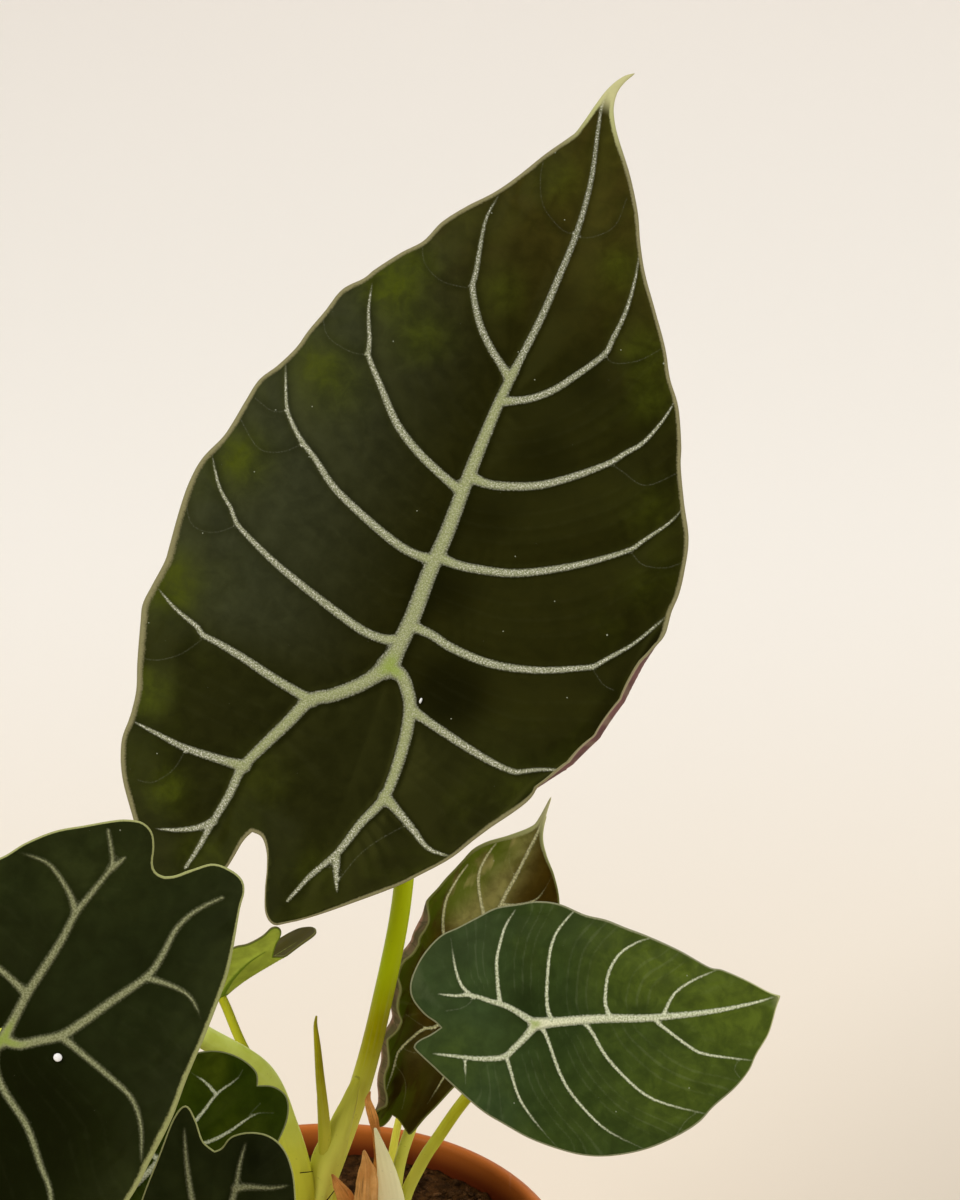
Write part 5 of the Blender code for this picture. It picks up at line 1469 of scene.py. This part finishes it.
# The rolled shoots: x, y, height and radius from the soil to the tip, in millimetres.
SHOOTS = {
    "new_leaf_spike": [
        (3.8, -3.4, 112, 1.9), (3.4, -3.8, 128, 2.1), (2.4, -4.2, 146, 2), (1.7, -4, 157, 1.8),
        (1.4, -3.4, 168, 1.5), (0.7, -2.6, 179, 1.15), (0.2, -1.9, 188, 0.85), (-0.2, -1.4, 194, 0.5),
        (0.1, -1.2, 196.6, 0.25),
    ],
    "second_shoot": [
        (13, 12.5, 112, 1.3), (15, 14.5, 122, 1.3), (16.7, 18, 131, 1.2), (18.2, 23, 140, 1.1),
        (20.1, 29.5, 147, 0.95), (22.5, 37, 152.5, 0.75), (24.6, 44, 158, 0.35),
    ],
}

# The sheaths: x, y, height, half the width, thickness and turn in degrees, from the soil to the tip.
SHEATHS = {
    "crown_clasp": [
        (-2.4, -4.6, 112, 4.6, 3.6, 6), (-1.4, -4.8, 128, 4.4, 3.6, 6), (0, -5, 140, 3.9, 3.4, 6),
        (1.1, -5, 148, 3.8, 3, 8), (2.8, -4.4, 156, 4.4, 2.6, 12), (5.6, -1.5, 163, 3.4, 2.4, 20),
        (8, 2, 169, 2.1, 2.2, 26), (9.6, 4.8, 174, 0.8, 1.2, 30),
    ],
    "pale_sheath": [
        (17.6, -12.6, 112, 3, 1.5, 10), (18.2, -12.6, 130, 3.6, 1.7, 10), (18.5, -12.5, 146, 3.6, 1.6, 12),
        (17.7, -12.3, 155, 2.8, 1.3, 14), (16.5, -12, 162, 1.8, 0.9, 16), (14.7, -11.6, 170, 0.4, 0.3, 18),
    ],
    "dry_sheath_large": [
        (10.6, -19.2, 112, 2.8, 0.7, -20), (11.4, -19.2, 130, 3.6, 0.7, -20),
        (12.2, -18.8, 146, 3.5, 0.6, -16), (12.6, -18.2, 155, 3.1, 0.55, -12),
        (12.9, -17.6, 160.5, 2.4, 0.5, -8), (12.6, -17.2, 164, 1.4, 0.4, -6), (12, -17, 167, 0.3, 0.3, -4),
    ],
    "dry_sheath_small": [
        (7.4, -14.2, 112, 2.8, 0.7, 20), (8.4, -14.6, 133, 3.3, 0.7, 20), (8, -14.4, 145, 3, 0.65, 20),
        (6.8, -14, 151, 2.4, 0.6, 20), (5.2, -13.6, 154.5, 1.5, 0.5, 20), (3.8, -13.2, 157, 0.3, 0.3, 20),
    ],
    "dry_curl": [
        (11.2, 1.6, 112, 1.6, 0.6, -35), (13.4, 1.2, 130, 1.5, 0.55, -35), (14.9, 0.6, 150, 1.2, 0.5, -20),
        (14.6, 0.4, 160, 1.1, 0.5, 0), (13.3, 0.5, 166.5, 1.3, 0.5, 20), (12.5, 0.8, 170, 0.9, 0.42, 30),
        (13, 1, 172.5, 0.3, 0.3, 40),
    ],
}
SHEATH_SIDES = 36


def rolled_shape(angle, along, whole):
    """A shoot's section: round, with the seam of its rolled leaf winding up it."""
    seam = (angle / (2 * math.pi) + along / 70.0) % 1.0
    return 1.0 - 0.10 * np.exp(-(seam / 0.05) ** 2) + 0.015 * np.cos(9 * angle)


def make_shoot(name):
    """A rolled shoot, in place of its solid."""
    x, y, z, radius = SHOOTS[name][0]
    points = [(x, y, z - STEM_DEPTH, radius)] + SHOOTS[name]
    mesh = tube_mesh(name + "_rolled", points, 28, 0.9, rolled_shape)
    look = stalk_material(
        "New shoot", (0.36, 0.33, 0.002), (0.25, 0.225, 0.001), (0.76, 0.74, 0.09), streak=0.2,
    )
    piece(name + "_rolled", mesh, [look], name)


def sheath_ring(ring, hollow, dry, seed):
    """A section of a sheath: hollow in front, with thin edges, and crumpled where it is dry."""
    x, y, z, width, thick, turn = ring
    turn = math.radians(turn)
    places = []
    for i in range(SHEATH_SIDES):
        angle = 2 * math.pi * i / SHEATH_SIDES
        across = width * math.cos(angle)
        body = thick * math.sin(angle) * (0.62 + 0.38 * abs(math.sin(angle)))
        deep = body + hollow * width * (math.sin(angle) ** 2 - 1)
        if dry:
            ruffle = noise.noise(Vector((across * 0.9, z * 0.22, 0.4 * math.sin(angle))) + seed)
            deep += 0.55 * ruffle * min(1.0, (z - 100) / 30)
            across *= 1 + 0.14 * noise.noise(Vector((z * 0.35, math.copysign(1.0, across), 0)) + seed)
        else:
            deep += 0.06 * math.cos(across * 5.0)
        places.append((
            (x + across * math.cos(turn) - deep * math.sin(turn)) * MM,
            (y + across * math.sin(turn) + deep * math.cos(turn)) * MM,
            z * MM,
        ))
    return places


def sheath_look(name, settings):
    """The material of one of the sheaths."""
    if name == "crown_clasp":
        return stalk_look("main", settings)
    if name == "pale_sheath":
        return stalk_material(
            "Pale sheath", (0.95, 0.91, 0.58), (0.88, 0.86, 0.44), (0.95, 0.92, 0.56), streak=0.3,
        )
    if name == "dry_sheath_large":
        return dry_material("Tan dry sheath", (0.97, 0.55, 0.18), (0.72, 0.33, 0.08))
    return dry_material("Brown dry sheath", (0.92, 0.42, 0.10), (0.55, 0.20, 0.035))


def make_sheath(name, settings):
    """A sheath as a curved leaf of tissue: a hollow front, thin edges and a pointed top."""
    rings = SHEATHS[name]
    x, y, z, width, thick, turn = rings[0]
    line = spaced(smooth([(x, y, z - STEM_DEPTH, width, thick, turn)] + rings, 1.0), 0.8)
    hollow = -0.4 if name == "crown_clasp" else 0.22
    seed = Vector((3.1, 7.7, 1.9)) * (len(name) * 0.37)
    places = []
    for ring in line:
        places += sheath_ring(ring, hollow, name.startswith("dry"), seed)
    low, high = line[0][2], line[-1][2]
    sides = range(SHEATH_SIDES)
    last = len(places) - SHEATH_SIDES
    faces = [tuple(sides)[::-1]] + ring_faces(len(line), SHEATH_SIDES) + [tuple(last + i for i in sides)]
    uvs = [(0.5 + 0.4 * math.cos(2 * math.pi * i / SHEATH_SIDES), low) for i in sides][::-1]
    uvs += ring_uvs(line[:, 2], SHEATH_SIDES) + [(i / SHEATH_SIDES, high) for i in sides]
    mesh = smooth_mesh(name + "_tissue", places, faces)
    set_round_uvs(mesh, uvs, low, high)
    in_frame = frame_slot(name)
    look = sheath_look(name, settings)
    piece(name + "_tissue", mesh, [look], name if in_frame else None)


def bore_drains(obj):
    """Bores the drain holes through the pot's floor."""
    for i in range(DRAIN_COUNT):
        angle = 2 * math.pi * i / DRAIN_COUNT
        x, y = DRAIN_CIRCLE * math.cos(angle), DRAIN_CIRCLE * math.sin(angle)
        bpy.ops.mesh.primitive_cylinder_add(
            vertices=32, radius=DRAIN_RADIUS * MM, depth=8.0 * MM, location=(x * MM, y * MM, 2.0 * MM),
        )
        drill = bpy.context.object
        bored = obj.modifiers.new("Drain", "BOOLEAN")
        bored.operation = "DIFFERENCE"
        bored.solver = "EXACT"
        bored.object = drill
        apply_modifiers(obj)
        bpy.data.objects.remove(drill, do_unlink=True)


def make_pot(settings):
    """The pot: its profile turned round, then bored for its drain holes."""
    foot = [(0, 1.2), (30, 1.2), (38.5, 1.2), (39.5, 0.3), (40.3, 0), (43.4, 0), (44.4, 0.4), (45, 1.5)]
    outside = [(wall_radius(h) + POT_WALL, h) for h in (8, 20, 40, 60, 80, 96, 101, 103.6)]
    lip = [
        (61.6, 104.6), (63.4, 105.0), (64.6, 106.0), (65.0, 107.4), (65.0, 116.0), (64.8, 117.6),
        (64.2, 118.9), (63.2, 119.7), (62.2, POT_HEIGHT), (61.4, 119.8), (60.8, 119.2), (BRIM_RADIUS, 118.2),
        (60.3, 116.5),
    ]
    inside = [(wall_radius(h) - (0.2 if h > 50 else 0.0), h) for h in (108, 90, 60, 30, 6)]
    floor = [(wall_radius(3.4) - 1.0, 3.4), (wall_radius(3.0) - 2.2, 2.6), (30.0, 2.6), (0.0, 2.6)]
    profile = [(r * MM, 0.0, h * MM) for r, h in foot + outside + lip + inside + floor]
    mesh = bpy.data.meshes.new("pot_moulded")
    mesh.from_pydata(profile, [(i, i + 1) for i in range(len(profile) - 1)], [])
    obj = piece("pot_moulded", mesh, [], "pot")
    screw = obj.modifiers.new("Turned", "SCREW")
    screw.steps = screw.render_steps = POT_STEPS
    screw.use_merge_vertices = True
    screw.merge_threshold = 1e-5
    screw.use_normal_calculate = True
    apply_modifiers(obj)
    bore_drains(obj)
    obj.data.materials.clear()
    obj.data.materials.append(pot_material(settings))
    select_only(obj)
    bpy.ops.object.shade_smooth_by_angle(angle=math.radians(35))
    obj.select_set(False)


# How many bark bits and white grains lie on the soil, and how far out, in millimetres.
BARK_COUNT = 260
GRAIN_COUNT = 14
CRUMB_CIRCLE = 57.5


def soil_height(x, y):
    """The soil's lumpy top in millimetres at a place in millimetres."""
    top = SOIL_TOP
    for scale, level, height in SOIL_LUMPS:
        top += noise.noise(Vector((x * scale, y * scale, level))) * height
    return top - 1.2 * (math.hypot(x, y) / SOIL_RADIUS) ** 5


def soil_circle(number, radius):
    """Places round a circle; every other circle is turned by half a step."""
    for i in range(SOIL_STEPS):
        angle = 2 * math.pi * (i + 0.5 * (number % 2)) / SOIL_STEPS
        yield radius * math.cos(angle), radius * math.sin(angle)


def make_soil(settings):
    """The soil's body under a fine crumbly top."""
    outer = wall_radius(113.0) - 0.6
    places = []
    for k in range(SOIL_RINGS):
        circle = soil_circle(k, outer * (k + 1) / SOIL_RINGS)
        places += [(x * MM, y * MM, soil_height(x, y) * MM) for x, y in circle]
    centre = len(places)
    places.append((0.0, 0.0, soil_height(0.0, 0.0) * MM))
    rim = centre - SOIL_STEPS
    faces = [(a, d, c, b) for a, b, c, d in ring_faces(SOIL_RINGS, SOIL_STEPS)]
    faces += [(centre, i, (i + 1) % SOIL_STEPS) for i in range(SOIL_STEPS)]
    body = (
        (outer - 0.3, 108.0), (wall_radius(60.0) - 0.6, 60.0),
        (wall_radius(6.0) - 0.8, 5.0), (wall_radius(3.0) - 3.0, 3.0),
    )
    for radius, height in body:
        start = len(places)
        places += [(x * MM, y * MM, height * MM) for x, y in soil_circle(SOIL_RINGS - 1, radius)]
        for i in range(SOIL_STEPS):
            j = (i + 1) % SOIL_STEPS
            faces.append((rim + i, start + i, start + j, rim + j))
        rim = start
    faces.append(tuple(range(rim, rim + SOIL_STEPS))[::-1])
    look = soil_material("Potting soil", (0.022, 0.0090, 0.0022), tuple(settings.soil_colour))
    piece("soil_bed", smooth_mesh("soil_bed", places, faces), [look], "soil")


def ball(level):
    """A small ball's points and faces about its middle."""
    bpy.ops.mesh.primitive_ico_sphere_add(subdivisions=level, radius=1.0)
    obj = bpy.context.object
    points = np.array([v.co for v in obj.data.vertices])
    faces = [tuple(p.vertices) for p in obj.data.polygons]
    bpy.data.objects.remove(obj, do_unlink=True)
    return points, faces


def make_crumbs(settings):
    """Loose crumbs, bark bits and a few white grains on the soil."""
    rng = np.random.default_rng(11)
    shape, shape_faces = ball(1)
    kinds = [
        ("soil_crumbs", settings.crumb_count, (0.3, 1.2), (1.0, 1.0, 0.75),
         soil_material("Soil crumb", (0.020, 0.009, 0.003), (0.090, 0.040, 0.012))),
        ("bark_bits", BARK_COUNT, (0.6, 1.9), (1.6, 0.7, 0.4),
         soil_material("Bark bit", (0.045, 0.019, 0.006), (0.16, 0.075, 0.028))),
        ("perlite_grains", GRAIN_COUNT, (0.35, 0.65), (1.0, 0.9, 0.8),
         soil_material("Perlite", (0.34, 0.30, 0.24), (0.55, 0.50, 0.42))),
    ]
    feet = [leaf["stem"][0][:2] + leaf["stem_radius"][:1] for leaf in LEAVES.values()]
    for name, count, sizes, stretch, look in kinds:
        places = []
        faces = []
        while len(faces) < count * len(shape_faces):
            angle = rng.uniform(0, 2 * math.pi)
            radius = CRUMB_CIRCLE * math.sqrt(rng.uniform(0, 1))
            x, y = radius * math.cos(angle), radius * math.sin(angle)
            if any(math.hypot(x - a, y - b) < r + 1.2 for a, b, r in feet):
                continue
            size = rng.uniform(*sizes) * (0.7 if rng.uniform() < 0.6 else 1.0)
            turn = Matrix.Rotation(rng.uniform(0, 6.28), 3, "Z")
            turn = turn @ Matrix.Rotation(rng.uniform(-0.5, 0.5), 3, "X")
            own = shape * (1 + rng.uniform(-0.28, 0.28, (len(shape), 1))) * np.array(stretch) * size
            own = own @ np.array(turn).T + np.array([x, y, soil_height(x, y) + size * 0.25])
            base = len(places)
            places += (own * MM).tolist()
            faces += [tuple(base + i for i in f) for f in shape_faces]
        mesh = bpy.data.meshes.new(name)
        mesh.from_pydata(places, [], faces)
        piece(name, mesh, [look], None)


def make_drops():
    """Drops that lie on two of the leaves, their white a painted highlight."""
    points, faces = ball(3)
    # The drops' milky white colour is a painted highlight.
    tree = nodes_of(bpy.data.materials.new("White drop"))
    highlight_grain = speckle(tree, node(tree, "ShaderNodeTexCoord").outputs["Object"], 900.0)
    look = shaded("White drop", mix(tree, highlight_grain, (0.82, 0.85, 0.90), (0.96, 0.96, 0.95)), 0.25)
    for key, x, y, wide, tall in (("left", -11.0, -5.8, 0.95, 0.95), ("main", 9.4, -5.2, 0.32, 0.7)):
        leaf = LEAVES[key]
        axes, joint = placing(leaf)
        spot = bent(leaf, np.array([x]), np.array([y]), np.array([0.4]))[0]
        places = (points * (wide, tall, 0.6) + spot) * MM @ axes + joint
        mesh = smooth_mesh(f"drop_{key}", places.tolist(), faces)
        piece(f"drop_{key}", mesh, [look], None)


def make_fibres():
    """Dark root fibres at the foot of the left-hand stalks."""
    look = soil_material("Root fibre", (0.012, 0.008, 0.006), (0.045, 0.022, 0.012))
    lines = [
        [
            (-2.6, -9.6, 146.4, 0.16), (0.4, -9.9, 145.4, 0.15), (2.0, -9.6, 146.6, 0.15),
            (3.8, -9.8, 149.4, 0.14), (4.3, -10.4, 150.4, 0.16), (5.0, -12.0, 149.6, 0.14),
        ],
        [(-4.6, -9.5, 155.0, 0.12), (-2.8, -9.9, 155.5, 0.12), (-1.4, -9.3, 155.3, 0.10)],
    ]
    for number, line in enumerate(lines):
        mesh = tube_mesh(f"root_fibre_{number + 1}", line, 8, 0.5)
        piece(f"root_fibre_{number + 1}", mesh, [look], None)


def make_floor(settings):
    """A pale paper floor that sweeps up behind, in metres, with painted light falloff in its colour."""
    sweep = [
        (0.0, -3.2, 0.0), (0.0, 1.6, 0.0), (0.0, 2.1, 0.06), (0.0, 2.5, 0.3), (0.0, 2.75, 0.8),
        (0.0, 2.8, 3.2),
    ]
    line = spaced(smooth(sweep, 0.1), 0.12)
    places = [(x, y, z) for x in (-4.0, 4.0) for _, y, z in line]
    n = len(line)
    mesh = smooth_mesh("floor", places, [(i, n + i, n + i + 1, i + 1) for i in range(n - 1)])
    floor = bpy.data.objects.new("floor", mesh)
    bpy.context.scene.collection.objects.link(floor)
    tree = nodes_of(bpy.data.materials.new("Cream paper"))
    place = node(tree, "ShaderNodeTexCoord").outputs["Object"]
    back = node(tree, "ShaderNodeSeparateXYZ", {0: place}).outputs["Y"]
    paper = tuple(settings.floor_colour)
    # Painted light: the paper is darker and warmer at the front and lighter up the sweep.
    front = tuple(c * w for c, w in zip(paper, (0.885, 0.815, 0.715)))
    light = tuple(min(1.0, c * w) for c, w in zip(paper, (1.06, 1.05, 1.05)))
    tone = mix(tree, ramp(tree, back, 0.05, 0.75), front, paper)
    tone = mix(tree, ramp(tree, back, 0.9, 1.8), tone, light)
    mesh.materials.append(shaded("Cream paper", tone, 0.9, Specular_IOR_Level=0.1))


def make_lights(settings):
    """Three soft square lights turned to the plant, and a dim warm room."""
    target = Vector((0.0, 0.05, 0.22))
    lights = [
        ("key", (-1.5, -1.1, 2.1), 1.4, settings.light_power, (1.0, 0.96, 0.90)),
        ("fill", (1.9, -1.3, 1.3), 1.6, 26.0, (1.0, 0.97, 0.93)),
        ("rear", (0.6, 1.3, 2.4), 1.6, 26.0, (1.0, 0.97, 0.93)),
    ]
    for name, place, size, power, tint in lights:
        lamp = bpy.data.lights.new(name, "AREA")
        lamp.shape = "SQUARE"
        lamp.size = size
        lamp.energy = power
        lamp.color = tint
        obj = bpy.data.objects.new(name, lamp)
        obj.location = place
        obj.rotation_euler = (target - Vector(place)).to_track_quat("-Z", "Y").to_euler()
        bpy.context.scene.collection.objects.link(obj)
    world = bpy.data.worlds.new("Studio")
    world.use_nodes = True
    background = world.node_tree.nodes["Background"]
    background.inputs["Color"].default_value = (1.0, 0.95, 0.88, 1.0)
    background.inputs["Strength"].default_value = 0.22
    bpy.context.scene.world = world


def make_camera():
    """The camera, above the plant and tilted down to it."""
    lens = bpy.data.cameras.new("camera")
    lens.sensor_fit = "VERTICAL"
    lens.sensor_height = 24.0
    lens.lens = 68.0
    camera = bpy.data.objects.new("camera", lens)
    camera.location = (0.041, -0.720, 0.663)
    camera.rotation_euler = (math.radians(64.0), 0.0, 0.0)
    bpy.context.scene.collection.objects.link(camera)
    bpy.context.scene.camera = camera
    bpy.context.scene.view_settings.view_transform = "Standard"


class PlantSettings(bpy.types.PropertyGroup):
    """Sizes and colours that change how the plant looks"""
    blade_thickness: bpy.props.FloatProperty(
        name="Blade thickness", description="Thickness of the middle of a leaf's blade",
        unit="LENGTH", min=0.0002, max=0.001, precision=5, default=0.0005,
    )
    vein_height: bpy.props.FloatProperty(
        name="Vein height", description="How far the thickest veins stand above the blade",
        unit="LENGTH", min=0.0, max=0.002, precision=5, default=0.00083,
    )
    crumb_count: bpy.props.IntProperty(
        name="Soil crumbs", description="Number of loose crumbs on the soil",
        min=0, max=4000, default=2600,
    )
    dark_leaf_colour: bpy.props.FloatVectorProperty(
        name="Dark leaf", description="Colour of the largest leaf's blade between its veins",
        subtype="COLOR", size=3, min=0.0, max=1.0, default=SKINS["dark"]["Blade"],
    )
    stalk_colour: bpy.props.FloatVectorProperty(
        name="Stalks", description="Lighter colour of the smaller leaves' stalks",
        subtype="COLOR", size=3, min=0.0, max=1.0, default=(0.49, 0.51, 0.022),
    )
    pot_colour: bpy.props.FloatVectorProperty(
        name="Pot", description="Lighter colour of the pot's plastic",
        subtype="COLOR", size=3, min=0.0, max=1.0, default=(0.54, 0.155, 0.028),
    )
    soil_colour: bpy.props.FloatVectorProperty(
        name="Soil", description="Lighter colour of the potting soil",
        subtype="COLOR", size=3, min=0.0, max=1.0, default=(0.075, 0.031, 0.0075),
    )
    floor_colour: bpy.props.FloatVectorProperty(
        name="Floor colour", description="Colour of the pale paper floor",
        subtype="COLOR", size=3, min=0.0, max=1.0, default=(0.885, 0.862, 0.825),
    )
    light_power: bpy.props.FloatProperty(
        name="Key light", description="Power of the main light", unit="POWER", min=0.0, default=50.0,
    )


class PLANT_OT_leaves(bpy.types.Operator):
    """Make the leaf blades"""
    bl_idname = "plant.leaves"
    bl_label = "Leaves"

    def execute(self, context):
        for key in LEAVES:
            make_leaf(key, context.scene.plant_settings)
        make_drops()
        return {"FINISHED"}


class PLANT_OT_stalks(bpy.types.Operator):
    """Make the stalks and the rolled shoots"""
    bl_idname = "plant.stalks"
    bl_label = "Stalks"

    def execute(self, context):
        for key in LEAVES:
            make_petiole(key, context.scene.plant_settings)
        for name in SHOOTS:
            make_shoot(name)
        return {"FINISHED"}


class PLANT_OT_sheaths(bpy.types.Operator):
    """Make the pale and the dry sheaths"""
    bl_idname = "plant.sheaths"
    bl_label = "Sheaths"

    def execute(self, context):
        for name in SHEATHS:
            make_sheath(name, context.scene.plant_settings)
        return {"FINISHED"}


class PLANT_OT_pot(bpy.types.Operator):
    """Make the pot"""
    bl_idname = "plant.pot"
    bl_label = "Pot"

    def execute(self, context):
        make_pot(context.scene.plant_settings)
        return {"FINISHED"}


class PLANT_OT_soil(bpy.types.Operator):
    """Make the soil, its crumbs and the root fibres"""
    bl_idname = "plant.soil"
    bl_label = "Soil"

    def execute(self, context):
        make_soil(context.scene.plant_settings)
        make_crumbs(context.scene.plant_settings)
        make_fibres()
        return {"FINISHED"}


class PLANT_OT_stage(bpy.types.Operator):
    """Make the floor, the lights and the camera"""
    bl_idname = "plant.stage"
    bl_label = "Stage"

    def execute(self, context):
        make_floor(context.scene.plant_settings)
        make_lights(context.scene.plant_settings)
        make_camera()
        return {"FINISHED"}


class PLANT_PT_panel(bpy.types.Panel):
    """The plant's pieces"""
    bl_idname = "PLANT_PT_panel"
    bl_label = "Alocasia"
    bl_space_type = "VIEW_3D"
    bl_region_type = "UI"
    bl_category = "Alocasia"

    def draw(self, context):
        for name in PlantSettings.__annotations__:
            self.layout.prop(context.scene.plant_settings, name)
        for step in STEPS:
            self.layout.operator(step.bl_idname)


STEPS = (PLANT_OT_leaves, PLANT_OT_stalks, PLANT_OT_sheaths, PLANT_OT_pot, PLANT_OT_soil, PLANT_OT_stage)
CLASSES = (PlantSettings,) + STEPS + (PLANT_PT_panel,)


def register():
    """Registers the classes and gives the scene its settings."""
    for each in CLASSES:
        bpy.utils.register_class(each)
    bpy.types.Scene.plant_settings = bpy.props.PointerProperty(type=PlantSettings)


def unregister():
    """Takes away the settings and the classes."""
    del bpy.types.Scene.plant_settings
    for each in reversed(CLASSES):
        bpy.utils.unregister_class(each)


def main():
    """Makes all the pieces and the stage."""
    register()
    bpy.ops.object.select_all(action="DESELECT")
    plant = bpy.ops.plant
    for make in (plant.leaves, plant.stalks, plant.sheaths, plant.pot, plant.soil, plant.stage):
        if make() != {"FINISHED"}:
            raise RuntimeError(f"{make.idname()} made nothing")


if __name__ == "__main__":
    main()
